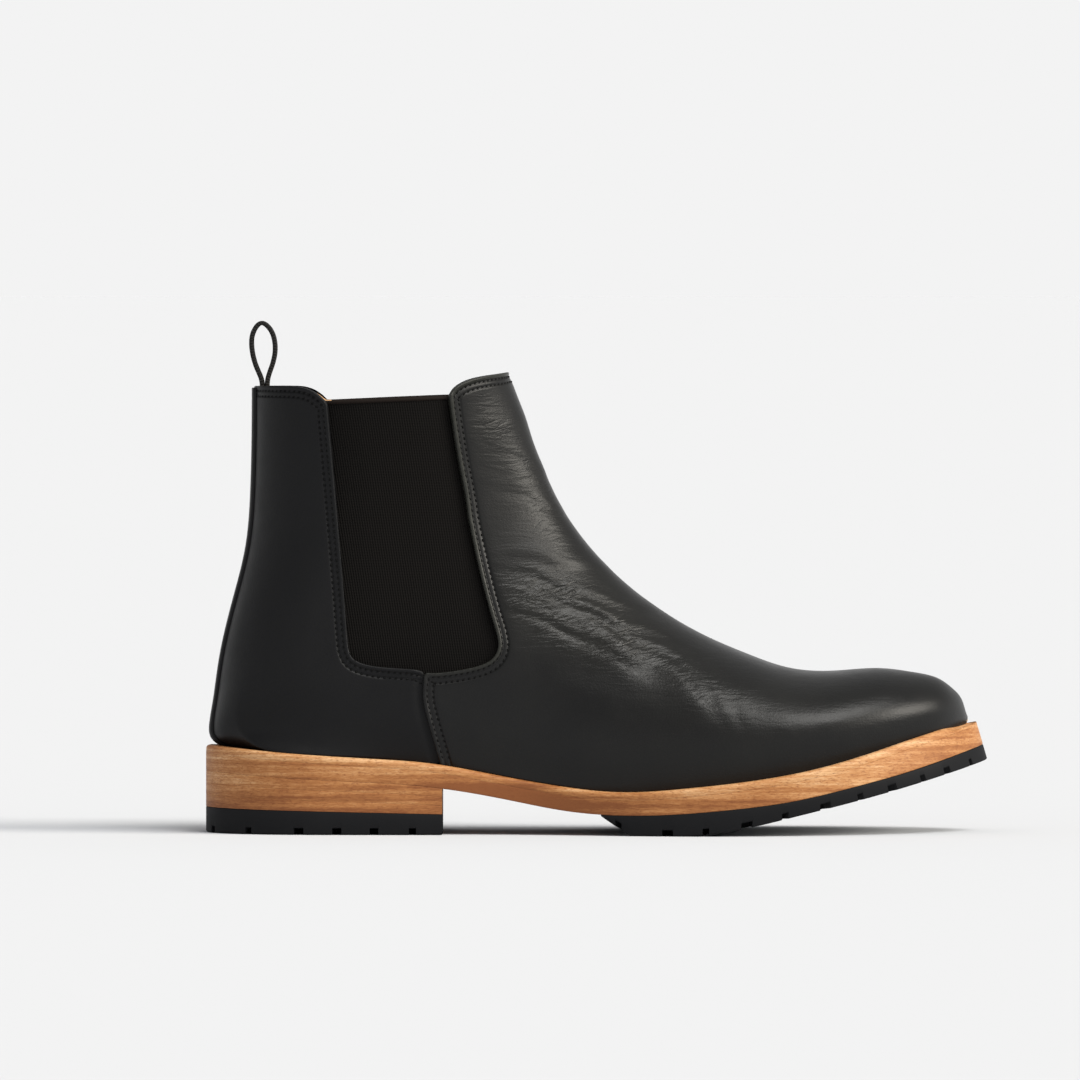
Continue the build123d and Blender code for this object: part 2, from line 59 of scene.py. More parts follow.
# ------------------------------------------------
# The upper's stations: ridge (x, z), keel (x, z), lateral y, medial y, corner inset, widest height,
# squareness of the bottom, ridge y.
STATIONS = np.array([
    (144.7, 46.2, 144.7, 42.3, 3.0, 11.0, 0.5, 1.6, 1.0, 7.0),
    (143.2, 50.9, 143.2, 41.6, -2.0, 15.5, 0.8, 3.6, 1.0, 6.6),
    (140.0, 55.2, 140.0, 40.6, -9.0, 21.2, 1.0, 5.6, 1.0, 6.0),
    (134.0, 59.6, 134.0, 38.8, -17.6, 28.2, 1.2, 7.6, 1.0, 5.2),
    (124.0, 62.2, 124.0, 35.7, -26.4, 36.0, 1.4, 9.4, 1.0, 4.6),
    (110.0, 63.8, 110.0, 31.4, -35.0, 42.4, 1.6, 11.0, 1.0, 4.2),
    (93.0, 62.8, 93.0, 27.0, -41.8, 45.8, 1.8, 12.4, 1.0, 4.4),
    (76.0, 63.8, 75.0, 23.4, -46.0, 46.0, 2.0, 13.4, 1.0, 5.0),
    (60.0, 69.0, 55.0, 20.2, -47.4, 43.8, 2.0, 14.6, 1.0, 5.6),
    (45.0, 75.3, 34.0, 17.9, -46.4, 39.4, 2.2, 16.0, 1.0, 6.0),
    (30.4, 83.2, 9.0, 16.4, -43.2, 34.6, 2.6, 18.0, 1.0, 5.8),
    (16.8, 92.5, -15.0, 18.6, -39.6, 31.6, 3.2, 21.0, 1.0, 5.2),
    (4.6, 103.3, -41.0, 23.1, -36.8, 31.4, 3.8, 25.0, 1.0, 4.2),
    (-6.0, 115.3, -72.0, 28.1, -35.6, 32.8, 3.8, 31.0, 1.0, 3.2),
    (-13.4, 126.4, -103.0, 30.2, -34.6, 33.4, 3.2, 38.0, 1.0, 2.2),
    (-18.1, 135.6, -131.0, 32.3, -33.6, 32.8, 9.0, 44.0, 0.85, 1.6),
    (-21.4, 143.5, -148.3, 38.2, -32.8, 32.2, 20.0, 48.0, 0.25, 1.2),
    (-24.6, 151.5, -149.2, 51.0, -32.2, 31.6, 24.0, 50.0, 0.0, 0.8),
    (-27.4, 160.5, -146.4, 70.0, -31.8, 31.2, 24.0, 52.0, 0.0, 0.5),
    (-30.2, 168.0, -141.0, 92.5, -31.8, 31.2, 24.0, 52.0, 0.0, 0.3),
    (-32.6, 174.2, -136.4, 112.0, -32.0, 31.6, 24.0, 50.0, 0.0, 0.1),
    (-34.6, 179.2, -134.5, 135.0, -32.4, 32.2, 24.0, 49.0, 0.0, 0.0),
    (-36.5, 184.6, -134.0, 158.0, -33.0, 33.0, 24.0, 48.5, 0.0, 0.0),
    (-38.6, 190.5, -133.9, 183.0, -33.4, 33.4, 24.0, 48.0, 0.0, 0.0),
])
TIP = (145.3, 44.2, 7.0)
ROUND, WALL_HANDLE, CROWN_HANDLE = 0.5523, 0.50, 0.58
LEATHER, GORE_IN, LINING_IN = 1.8, 2.0, 3.8
ELASTIC_THICKNESS, LINING_ROLL, LINING_EDGE = 1.0, 0.35, 1.6
BORDER_X = 16.0  # where the lower vamp's mesh meets the shaft's
GORE_FOOT = 66.5  # below this height the quarter ends at the side seam, above it at the gore
LAP_TOP = 62.0  # below this height the quarter runs on under the vamp
GORE_TOP = [(-105.3, 168.4), (-57.8, 170.2)]  # upper edge of the elastic, in side view

# Seams and edges in side view.
COLLAR = [
    (-190, 174.3), (-133, 174.3), (-120, 174.3), (-115, 174.0), (-111, 172.6), (-107.8, 170.3),
    (-105.3, 167.6), (-102.5, 166.0), (-98, 168.3), (-62, 170.0), (-58.6, 169.6), (-57.2, 171.4),
    (-55.4, 173.8), (-51.4, 176.2), (-45.8, 177.9), (-34.8, 179.7), (-20, 182.6),
]
GORE = [
    (-106.3, 186), (-105.3, 168.3), (-103.2, 146), (-101.0, 121.8), (-98.9, 98.1), (-97.2, 75.1),
    (-96.6, 70.5), (-94.3, 67.4), (-87.5, 65.4), (-78, 64.7), (-69.7, 64.2), (-66.9, 62.9), (-62.0, 62.8),
    (-53.5, 63.9), (-45.0, 65.8), (-40.4, 68.4), (-38.3, 72.6), (-39.0, 78), (-41.7, 86.2),
    (-45.9, 102.3), (-50.1, 121.8), (-51.0, 130.0), (-54.4, 147.0), (-57.6, 168), (-59, 186),
]
SIDE_SEAM = [(-67.1, 66), (-67.6, 60), (-68.1, 53.0), (-65.9, 44.0), (-61.6, 29.0), (-57.0, 10.0)]

WELT_TOP = [
    (-160.0, 34.8), (-120.0, 31.5), (-90.0, 29.5), (-65.0, 27.6), (-42.0, 23.6), (-15.0, 18.9),
    (9.0, 16.7), (34.0, 18.2), (60.0, 21.2), (84.0, 25.3), (110.0, 31.7), (134.0, 38.9), (160.0, 46.6),
]
MIDSOLE_BOTTOM = [
    (-160.0, 24.6), (-110.0, 21.2), (-60.0, 17.8), (-34.0, 13.3), (-10.0, 9.0), (5.0, 7.9),
    (28.0, 8.2), (52.0, 10.2), (76.0, 13.4), (99.0, 18.4), (122.0, 24.2), (146.0, 31.7), (160.0, 36.2),
]
RUBBER_BOTTOM = [
    (-10.0, 0.1), (14.0, 0.05), (38.0, 0.1), (55.0, 2.4), (76.0, 7.2), (107.0, 14.9), (138.0, 23.6),
    (160.0, 30.2),
]
SOLE_OUTLINE = [
    (-153.0, 0.0), (-149.5, -13.5), (-140.5, -24.6), (-122.0, -33.6), (-95.0, -36.6), (-60.0, -36.6),
    (-25.0, -37.2), (10.0, -47.4), (42.0, -53.0), (76.0, -51.4), (106.0, -43.0), (130.0, -28.4),
    (146.0, -10.4), (153.0, 8.0), (148.4, 23.6), (134.0, 37.4), (110.0, 48.4), (80.0, 52.9),
    (50.0, 49.6), (20.0, 40.8), (-15.0, 31.6), (-55.0, 33.0), (-95.0, 35.2), (-122.0, 32.6),
    (-140.5, 24.2), (-149.5, 13.5),
]
WELT = 3.3
WELT_SEAM_INSET, OUTLINE_STEP = 3.3, 0.5
HEEL_BREAST = -60.4
HEEL_NOTCHES = [-150.0, -136.0, -116.4, -101.2, -86.7, -71.7]
FOREFOOT_NOTCHES = [8.0, 27.2, 42.1, 58.0, 73.1, 88.8, 102.3, 115.3, 127.2, 136.8, 146.3]
NOTCH_REACH, NOTCH_HEIGHT = 12.0, 2.4
STITCH_ROWS = (1.9, 4.0)  # distances of the two rows of stitches from a panel's edge
STITCH_PITCH, WELT_STITCH_PITCH = 2.25, 3.0


# ------------------------------------------------
# Curves
def cubic(knots, values, at):
    """Natural cubic spline through values at knots, evaluated at the points at."""
    knots, values, at = (np.asarray(a, float) for a in (knots, values, at))
    flat = values.reshape(len(knots), -1)
    h = np.diff(knots)
    n = len(knots)
    a = np.zeros((n, n))
    r = np.zeros((n, flat.shape[1]))
    a[0, 0] = a[-1, -1] = 1.0
    for i in range(1, n - 1):
        a[i, i - 1], a[i, i], a[i, i + 1] = h[i - 1], 2 * (h[i - 1] + h[i]), h[i]
        r[i] = 6 * ((flat[i + 1] - flat[i]) / h[i] - (flat[i] - flat[i - 1]) / h[i - 1])
    m = np.linalg.solve(a, r)
    k = np.clip(np.searchsorted(knots, at) - 1, 0, n - 2)
    t, s = (at - knots[k])[:, None], (knots[k + 1] - at)[:, None]
    hk = h[k][:, None]
    out = (m[k] * s**3 + m[k + 1] * t**3) / (6 * hk)
    out += (flat[k] / hk - m[k] * hk / 6) * s + (flat[k + 1] / hk - m[k + 1] * hk / 6) * t
    return out.reshape((len(at),) + values.shape[1:])


def line_at(points, x):
    """Height of a sole line at x."""
    p = np.array(points)
    x = np.asarray(x, float)
    return cubic(p[:, 0], p[:, 1], x.ravel()).reshape(x.shape)


def chaikin(points, rounds=2):
    """Open polyline with its corners cut."""
    p = np.array(points, float)
    for _ in range(rounds):
        q = 0.75 * p[:-1] + 0.25 * p[1:]
        r = 0.25 * p[:-1] + 0.75 * p[1:]
        p = np.vstack([p[:1], np.stack([q, r], 1).reshape(-1, 2), p[-1:]])
    return p


def smoothstep(x, low, high):
    t = np.clip((x - low) / (high - low), 0, 1)
    return t * t * (3 - 2 * t)


def polygon_distance(polygon, x, z):
    """Signed distance to a closed polygon in side view, positive inside."""
    a = np.asarray(polygon, float)
    b = np.roll(a, -1, 0)
    best = np.full(x.shape, 1e9)
    inside = np.zeros(x.shape, bool)
    for (ax, az), (bx, bz) in zip(a, b):
        dx, dz = bx - ax, bz - az
        t = np.clip(((x - ax) * dx + (z - az) * dz) / (dx * dx + dz * dz + 1e-12), 0, 1)
        best = np.minimum(best, np.hypot(x - ax - t * dx, z - az - t * dz))
        if az != bz:
            crosses = ((az > z) != (bz > z)) & (x < (bx - ax) * (z - az) / (bz - az) + ax)
            inside ^= crosses
    return np.where(inside, best, -best)


def interpolate(at, s, p):
    """Rows of p, which are known at s, evaluated at the points at."""
    return np.stack([np.interp(at, s, p[:, k]) for k in range(p.shape[1])], 1)


def arc_length(p):
    """Distance along a polyline to each of its points."""
    return np.r_[0, np.cumsum(np.linalg.norm(np.diff(p, axis=0), axis=1))]


def unit(v):
    """Vectors scaled to length 1."""
    return v / (np.linalg.norm(v, axis=-1, keepdims=True) + 1e-12)


def resample(points, step):
    """Polyline points at equal steps along it."""
    p = np.asarray(points, float)
    s = arc_length(p)
    n = max(int(round(s[-1] / step)), 1)
    return interpolate(np.linspace(0, s[-1], n + 1), s, p)


# ------------------------------------------------
# Surface of the upper
def station_table():
    """Even quantities of the stations against distance from the toe's tip, mirrored past the tip."""
    s = STATIONS
    ridge, keel = s[:, 0:2], s[:, 2:4]
    centre, half = (ridge + keel) / 2, (ridge - keel) / 2
    yc, hw = (s[:, 4] + s[:, 5]) / 2, (s[:, 5] - s[:, 4]) / 2
    height = 2 * np.linalg.norm(half, axis=1)
    even = np.column_stack([centre, yc, s[:, 6] / hw, s[:, 7] / height, s[:, 8], (s[:, 9] - yc) / hw])
    odd = np.column_stack([half, hw])
    tip_even = np.r_[TIP[0], TIP[1], TIP[2], even[0, 3:]]
    even, odd = np.vstack([tip_even, even]), np.vstack([np.zeros(3), odd])
    mean_x = 0.5 * (np.r_[TIP[0], s[:, 0]] + np.r_[TIP[0], s[:, 2]])
    steps = np.sqrt(np.diff(mean_x) ** 2 + np.diff(even[:, 1]) ** 2 + np.diff(odd[:, 2]) ** 2)
    u = np.r_[0, np.cumsum(steps)]
    mirrored = slice(3, 0, -1)
    u_all = np.r_[-u[mirrored], u]
    return u_all, np.vstack([even[mirrored], even]), np.vstack([-odd[mirrored], odd])


def bezier(points, t):
    a, b, c, d = (points[..., i, None, :] for i in range(4))
    t = t[:, None]
    return a * (1 - t) ** 3 + 3 * b * t * (1 - t) ** 2 + 3 * c * t * t * (1 - t) + d * t**3


def side_points(height, inset, rise, square, middle, wide, ridge_y):
    """Bezier points (row, 4, 2) of bottom, lower and upper curve on one side, as (up, y)."""
    out = wide - middle
    zero = np.zeros_like(height)
    corner = np.stack([zero, wide - np.sign(out) * inset], -1)
    quarter = [
        np.stack([zero, middle], -1), np.stack([zero, middle + ROUND * out], -1),
        np.stack([rise * (1 - ROUND), wide], -1), np.stack([rise, wide], -1),
    ]
    ab, bc, cd = ((quarter[i] + quarter[i + 1]) / 2 for i in range(3))
    abc, bcd = (ab + bc) / 2, (bc + cd) / 2
    half = (abc + bcd) / 2
    flat = [quarter[0] + (corner - quarter[0]) * k for k in (0, 1 / 3, 2 / 3, 1)]
    low = corner + (quarter[3] - corner) * 0.35
    wall = [corner, low, np.stack([0.55 * rise, wide], -1), quarter[3]]
    k = square[:, None]
    bottom = np.stack([p + (q - p) * k for p, q in zip([quarter[0], ab, abc, half], flat)], 1)
    lower = np.stack([p + (q - p) * k for p, q in zip([half, bcd, cd, quarter[3]], wall)], 1)
    upper = np.stack([
        quarter[3],
        np.stack([rise + WALL_HANDLE * (height - rise), wide], -1),
        np.stack([height, ridge_y + CROWN_HANDLE * (wide - ridge_y)], -1),
        np.stack([height, ridge_y], -1),
    ], 1)
    return bottom, lower, upper


def upper_grid(step=0.8, bottom_n=22, side_n=118):
    """Grid (rows, columns, 3) of the outer surface; columns run lateral keel, ridge, medial keel."""
    u_all, even, odd = station_table()
    u = np.arange(0.35, u_all[-1], step)
    e, o = cubic(u_all, even, u), cubic(u_all, odd, u)
    centre, half, hw, yc = e[:, 0:2], o[:, 0:2], o[:, 2], e[:, 2]
    length = np.linalg.norm(half, axis=1)
    up, height, keel = half / length[:, None], 2 * length, centre - half
    square = np.clip(e[:, 5], 0, 1)
    t = np.linspace(0, 1, 41)
    sides = []
    for sign in (-1, 1):
        curves = side_points(
            height, e[:, 3] * hw, e[:, 4] * height, square, yc, yc + sign * hw, yc + e[:, 6] * hw
        )
        bottom = bezier(curves[0], np.linspace(0, 1, bottom_n))
        rest = np.concatenate([bezier(curves[1], t), bezier(curves[2], t)[:, 1:]], 1)
        s = np.concatenate(
            [np.zeros((len(u), 1)), np.cumsum(np.linalg.norm(np.diff(rest, axis=1), axis=2), 1)], 1
        )
        even_rest = np.empty((len(u), side_n, 2))
        for i in range(len(u)):
            even_rest[i] = interpolate(np.linspace(0, s[i, -1], side_n), s[i], rest[i])
        sides.append(np.concatenate([bottom[:, :-1], even_rest], 1))
    ring = np.concatenate([sides[0], sides[1][:, -2::-1]], 1)
    grid = np.empty(ring.shape[:2] + (3,))
    grid[..., 0] = keel[:, None, 0] + up[:, None, 0] * ring[..., 0]
    grid[..., 2] = keel[:, None, 1] + up[:, None, 1] * ring[..., 0]
    grid[..., 1] = ring[..., 1]
    return grid, square


def grid_normals(grid):
    du = np.gradient(grid, axis=0)
    dv = np.gradient(grid, axis=1)
    n = unit(np.cross(dv, du))
    mid = n.shape[1] // 2
    if n[len(n) // 3, mid, 2] < 0:
        n = -n
    return n


def grid_cells(rows, cols):
    """Corners of the cells of a grid of points, in order round each cell."""
    i = np.arange(rows - 1)[:, None] * cols + np.arange(cols - 1)[None, :]
    return i, i + 1, i + cols + 1, i + cols


def grid_triangles(rows, cols):
    a, b, c, d = grid_cells(rows, cols)
    halves = (a, b, c), (a, c, d)
    return np.concatenate([np.stack(half, -1).reshape(-1, 3) for half in halves])


# ------------------------------------------------
# Meshes as a dict of point arrays plus triangles
def clip(points, faces, key):
    """Keeps the side of a triangle mesh where points[key] > 0, cutting triangles on the line."""
    s = points[key]
    inside = s[faces] > 0
    count = inside.sum(1)
    whole = faces[count == 3]
    made, pairs = [whole], []
    n = len(s)

    def cut(i, j):
        pairs.append(np.stack([np.minimum(i, j), np.maximum(i, j)], 1))
        return len(pairs) - 1

    plans = []
    for wanted, flag in ((1, True), (2, False)):
        f, m = faces[count == wanted], inside[count == wanted]
        first = np.argmax(m == flag, axis=1)
        f = np.stack([f[np.arange(len(f)), (first + k) % 3] for k in range(3)], 1)
        ab, ca = cut(f[:, 0], f[:, 1]), cut(f[:, 0], f[:, 2])
        plans.append((wanted, f, ab, ca))
    flat = np.concatenate(pairs)
    unique, back = np.unique(flat[:, 0] * n + flat[:, 1], return_inverse=True)
    starts = np.cumsum([0] + [len(p) for p in pairs])
    index = [n + back[starts[k]:starts[k + 1]] for k in range(len(pairs))]
    for wanted, f, ab, ca in plans:
        p, q = index[ab], index[ca]
        if wanted == 1:
            made.append(np.stack([f[:, 0], p, q], 1))
        else:
            made.append(np.stack([p, f[:, 1], f[:, 2]], 1))
            made.append(np.stack([p, f[:, 2], q], 1))
    i, j = unique // n, unique % n
    t = s[i] / (s[i] - s[j])
    out = {}
    for name, values in points.items():
        w = t[:, None] if values.ndim == 2 else t
        out[name] = np.concatenate([values, values[i] * (1 - w) + values[j] * w])
    out[key][n:] = 0.0
    faces = np.concatenate(made)
    used = np.unique(faces)
    remap = np.zeros(len(out[key]), int)
    remap[used] = np.arange(len(used))
    return {k: v[used] for k, v in out.items()}, remap[faces]


def open_edges(faces):
    """Directed edges that belong to one triangle only."""
    e = np.concatenate([faces[:, [0, 1]], faces[:, [1, 2]], faces[:, [2, 0]]])
    n = faces.max() + 1
    forward, backward = e[:, 0] * n + e[:, 1], e[:, 1] * n + e[:, 0]
    return e[~np.isin(forward, backward)]


def cut_edges(points, faces, key):
    """Open edges that lie on the cut line of key."""
    edges = open_edges(faces)
    on_line = np.abs(points[key]) < 1e-6
    return edges[on_line[edges].all(1)]


def chains(edges):
    """Open edges joined into ordered runs of vertices."""
    follow = dict(map(tuple, edges))
    starts = [a for a in follow if a not in set(follow.values())]
    left, out = set(follow), []
    while left:
        a = starts.pop() if starts else next(iter(left))
        run = [a]
        while a in left:
            left.discard(a)
            a = follow[a]
            run.append(a)
        out.append(run)
    return out


def make(name, vertices, faces, material, **attributes):
    """Mesh object from millimetre points; attributes become point attributes."""
    mesh = bpy.data.meshes.new(name)
    vertices = np.asarray(vertices, float) * MM
    faces = [tuple(int(i) for i in f) for f in faces]
    mesh.from_pydata(vertices.tolist(), [], faces)
    for key, values in attributes.items():
        values = np.asarray(values, np.float32)
        kind = "FLOAT" if values.ndim == 1 else "FLOAT_VECTOR"
        layer = mesh.attributes.new(key, kind, "POINT")
        layer.data.foreach_set("value" if values.ndim == 1 else "vector", values.ravel())
    mesh.polygons.foreach_set("use_smooth", [True] * len(faces))
    mesh.materials.append(material)
    mesh.update()
    obj = bpy.data.objects.new(name, mesh)
    bpy.context.scene.collection.objects.link(obj)
    return obj


def with_edge(points, faces, key, radius, depth, steps=5):
    """Adds a rolled edge along the cut line of key: a quarter round, then straight in to depth."""
    edges = cut_edges(points, faces, key)
    if not len(edges):
        return points, faces
    ids = np.unique(edges)
    p, n = points["co"][ids], points["n"][ids]
    along = np.zeros_like(points["co"])
    d = points["co"][edges[:, 1]] - points["co"][edges[:, 0]]
    np.add.at(along, edges[:, 0], d)
    np.add.at(along, edges[:, 1], d)
    out = unit(np.cross(unit(along[ids]), n))
    rows = [np.arange(len(points[key]))[ids]]
    co, normals = [points["co"]], [points["n"]]
    total = len(points["co"])
    profile = [(math.sin(a), 1 - math.cos(a)) for a in np.linspace(0, math.pi / 2, steps)[1:]]
    profile = [(radius * a, radius * b) for a, b in profile] + [(radius, depth)]
    for o, i in profile:
        co.append(p + out * o - n * i)
        normals.append(out)
        rows.append(total + np.arange(len(ids)))
        total += len(ids)
    place = {v: k for k, v in enumerate(ids)}
    a = np.array([place[v] for v in edges[:, 0]])
    b = np.array([place[v] for v in edges[:, 1]])
    new = [faces]
    for r, s in zip(rows[:-1], rows[1:]):
        new.append(np.stack([r[b], r[a], s[a]], 1))
        new.append(np.stack([r[b], s[a], s[b]], 1))
    out_points = {"co": np.concatenate(co), "n": np.concatenate(normals)}
    for name, values in points.items():
        if name not in out_points:
            extra = [values[ids]] * len(profile)
            out_points[name] = np.concatenate([values, *extra])
    return out_points, np.concatenate(new)


# ------------------------------------------------
# Shader helpers
class Nodes:
    """A small builder for a material's node tree."""

    def __init__(self, name):
        self.material = bpy.data.materials.new(name)
        self.material.use_nodes = True
        self.tree = self.material.node_tree
        self.shader = self.tree.nodes["Principled BSDF"]

    def add(self, kind, inputs=None, **settings):
        node = self.tree.nodes.new(kind)
        for key, value in settings.items():
            setattr(node, key, value)
        for key, value in (inputs or {}).items():
            if isinstance(value, bpy.types.NodeSocket):
                self.tree.links.new(value, node.inputs[key])
            else:
                node.inputs[key].default_value = value
        return node

    def attribute(self, name, vector=False):
        node = self.add("ShaderNodeAttribute", attribute_name=name)
        return node.outputs["Vector" if vector else "Fac"]

    def weave(self):
        """Distances along and across a woven piece."""
        parts = self.add("ShaderNodeSeparateXYZ", {"Vector": self.attribute("weave", vector=True)})
        return parts.outputs[0], parts.outputs[1]

    def place(self, scale=(1, 1, 1), rotation=(0, 0, 0)):
        source = self.add("ShaderNodeTexCoord").outputs["Object"]
        node = self.add("ShaderNodeMapping", {"Vector": source, "Scale": scale, "Rotation": rotation})
        return node.outputs["Vector"]

    def noise(self, vector, scale, detail=3.0, roughness=0.55, distortion=0.0):
        inputs = {
            "Vector": vector, "Scale": scale, "Detail": detail, "Roughness": roughness,
            "Distortion": distortion,
        }
        return self.add("ShaderNodeTexNoise", inputs).outputs["Fac"]

    def math(self, operation, a, b=0.0):
        return self.add("ShaderNodeMath", {0: a, 1: b}, operation=operation).outputs[0]

    def wave(self, value, pitch):
        return self.math("SINE", self.math("MULTIPLY", value, 2 * math.pi / pitch))

    def remap(self, value, low, high, to_low=0.0, to_high=1.0):
        inputs = {"Value": value, "From Min": low, "From Max": high, "To Min": to_low, "To Max": to_high}
        return self.add("ShaderNodeMapRange", inputs).outputs["Result"]

    def ramp(self, value, stops):
        node = self.add("ShaderNodeValToRGB", {"Fac": value})
        elements = node.color_ramp.elements
        while len(elements) < len(stops):
            elements.new(0.5)
        for element, (position, colour) in zip(elements, stops):
            element.position = position
            element.color = (*colour, 1.0)
        return node.outputs["Color"]

    def mix(self, a, b, factor):
        node = self.add("ShaderNodeMix", data_type="RGBA")
        for socket, value in ((node.inputs[6], a), (node.inputs[7], b), (node.inputs[0], factor)):
            if isinstance(value, bpy.types.NodeSocket):
                self.tree.links.new(value, socket)
            elif socket == node.inputs[0]:
                socket.default_value = value
            else:
                socket.default_value = (*value, 1.0)
        return node.outputs[2]

    def bump(self, height, distance, strength=1.0, normal=None):
        inputs = {"Height": height, "Distance": distance, "Strength": strength}
        if normal is not None:
            inputs["Normal"] = normal
        return self.add("ShaderNodeBump", inputs).outputs["Normal"]

    def finish(self, **sockets):
        for key, value in sockets.items():
            socket = self.shader.inputs[key.replace("_", " ")]
            if isinstance(value, bpy.types.NodeSocket):
                self.tree.links.new(value, socket)
            else:
                socket.default_value = value
        return self.material


def groove(n, distance, at, width):
    """-1 in the middle of a groove that runs at a distance from the edge, 0 away from it."""
    offset = n.math("DIVIDE", n.math("SUBTRACT", distance, at), width)
    fall = n.math("MULTIPLY", n.math("MULTIPLY", offset, offset), -1.0)
    return n.math("MULTIPLY", n.math("EXPONENT", fall), -1.0)


def cracks(n, along, across, tilt, warp, width):
    """Thin creases in long cells: 0 on a crease, 1 between creases."""
    where = n.place(rotation=(0, tilt, 0))
    drift = n.add("ShaderNodeTexNoise", {"Vector": where, "Scale": 90.0, "Detail": 3.0}).outputs["Color"]
    drift = n.add("ShaderNodeVectorMath", {0: drift, 1: (0.5, 0.5, 0.5)}, operation="SUBTRACT").outputs[0]
    drift = n.add("ShaderNodeVectorMath", {0: drift, "Scale": warp}, operation="SCALE").outputs[0]
    bent = n.add("ShaderNodeVectorMath", {0: where, 1: drift}, operation="ADD").outputs[0]
    cells = n.add("ShaderNodeMapping", {"Vector": bent, "Scale": (along, along, across)}).outputs[0]
    lines = n.add("ShaderNodeTexVoronoi", {"Vector": cells, "Scale": 1.0}, feature="DISTANCE_TO_EDGE")
    return n.remap(lines.outputs["Distance"], 0.0, width)


def leather_material(name, dark, pale, gloss, specular, creased):
    n = Nodes(name)
    where = n.place()
    cloudy = n.noise(where, 24.0, 4.0)
    mottled = n.noise(where, 150.0, 4.0, 0.6)
    fine = n.noise(where, 1300.0, 4.0, 0.62)
    pores = n.add("ShaderNodeTexVoronoi", {"Vector": where, "Scale": 1250.0}, feature="F1")
    edge = n.attribute("seam")
    rows = n.math("ADD", groove(n, edge, STITCH_ROWS[0], 0.5), groove(n, edge, STITCH_ROWS[1], 0.5))
    colour = n.mix(dark, pale, n.remap(cloudy, 0.35, 0.75))
    normal = n.bump(fine, 0.00005, 0.55)
    normal = n.bump(pores.outputs["Distance"], 0.00005, 0.5, normal)
    normal = n.bump(mottled, 0.0003, 0.22, normal)
    normal = n.bump(rows, 0.00032, 1.0, normal)
    wear = n.math("ADD", cloudy, n.math("MULTIPLY", mottled, 0.5))
    rough = n.remap(wear, 0.5, 1.0, gloss - 0.05, gloss + 0.07)
    if creased:
        mask = n.attribute("crease")
        long = cracks(n, 75.0, 400.0, 0.30, 0.0040, 0.14)
        short = cracks(n, 150.0, 900.0, 0.36, 0.0015, 0.25)
        patch = n.remap(n.noise(n.place(scale=(60, 60, 95)), 1.0, 3.0), 0.40, 0.62)
        ripple = n.noise(n.place(scale=(75, 75, 420), rotation=(0, 0.30, 0)), 1.0, 4.0, 0.6, 0.8)
        strong = n.math("MULTIPLY", n.remap(mask, 0.25, 0.9), patch)
        weak = n.remap(mask, 0.05, 0.8)
        normal = n.bump(n.math("MULTIPLY", long, strong), 0.00022, 0.9, normal)
        normal = n.bump(n.math("MULTIPLY", short, strong), 0.00010, 0.7, normal)
        normal = n.bump(n.math("MULTIPLY", ripple, weak), 0.0008, 0.75, normal)
        # the crease mask lightens the colour towards a warm grey: partly worn leather, partly a painted
        # highlight on the creased patch
        colour = n.mix(colour, (0.030, 0.029, 0.024), n.math("MULTIPLY", weak, 0.25))
        height = n.add("ShaderNodeSeparateXYZ", {"Vector": where}).outputs[2]
        # painted highlight: near a panel's rolled edge, above the gore's foot, the colour is mixed towards a
        # paler green-grey, standing in for light caught on the edge
        edge_highlight = n.math("MULTIPLY", n.remap(edge, 1.9, 1.2), n.remap(height, 0.058, 0.070))
        colour = n.mix(colour, (0.034, 0.035, 0.028), n.math("MULTIPLY", edge_highlight, 0.45))
        rough = n.math("SUBTRACT", rough, n.math("MULTIPLY", weak, 0.05))
    return n.finish(Base_Color=colour, Roughness=rough, Normal=normal, Specular_IOR_Level=specular)


def sole_leather_material(name, levels):
    """Burnished edge of stacked leather: fine streaks along the sole, redder lower down."""
    n = Nodes(name)
    streaks = n.noise(n.place(scale=(13, 13, 430)), 1.0, 5.0, 0.58, 0.2)
    grain = n.noise(n.place(scale=(300, 300, 2200)), 1.0, 4.0, 0.65)
    patches = n.noise(n.place(scale=(26, 26, 60)), 1.0, 3.0, 0.55)
    specks = n.noise(n.place(scale=(700, 700, 2300)), 1.0, 3.0, 0.6)
    # depth: darker and redder lower down the sole's edge; round the waist it also carries painted shade
    depth = n.attribute("depth")
    tone = n.math("ADD", n.math("MULTIPLY", streaks, 0.90), n.math("MULTIPLY", grain, 0.50))
    tone = n.math("ADD", tone, n.math("MULTIPLY", patches, 0.60))
    tone = n.math("ADD", n.math("SUBTRACT", tone, 0.60), n.math("MULTIPLY", depth, levels))
    colour = n.ramp(tone, [
        (0.28, (0.600, 0.360, 0.182)), (0.43, (0.455, 0.222, 0.088)), (0.56, (0.345, 0.142, 0.046)),
        (0.76, (0.205, 0.070, 0.022)),
    ])
    colour = n.mix(colour, (0.17, 0.050, 0.016), n.math("MULTIPLY", n.remap(specks, 0.52, 0.68), 0.6))
    normal = n.bump(streaks, 0.00008, 0.5)
    normal = n.bump(specks, 0.00005, 0.5, normal)
    return n.finish(
        Base_Color=colour, Roughness=n.remap(streaks, 0.3, 0.7, 0.46, 0.60), Normal=normal,
        Specular_IOR_Level=0.22,
    )


def rubber_material(name):
    n = Nodes(name)
    where = n.place()
    fine = n.noise(where, 1800.0, 3.0)
    cloudy = n.noise(where, 60.0, 3.0)
    colour = n.mix((0.0062, 0.0065, 0.0075), (0.0095, 0.0097, 0.0108), cloudy)
    return n.finish(
        Base_Color=colour, Roughness=n.remap(cloudy, 0.3, 0.7, 0.58, 0.7),
        Normal=n.bump(fine, 0.00004, 0.5), Specular_IOR_Level=0.10,
    )


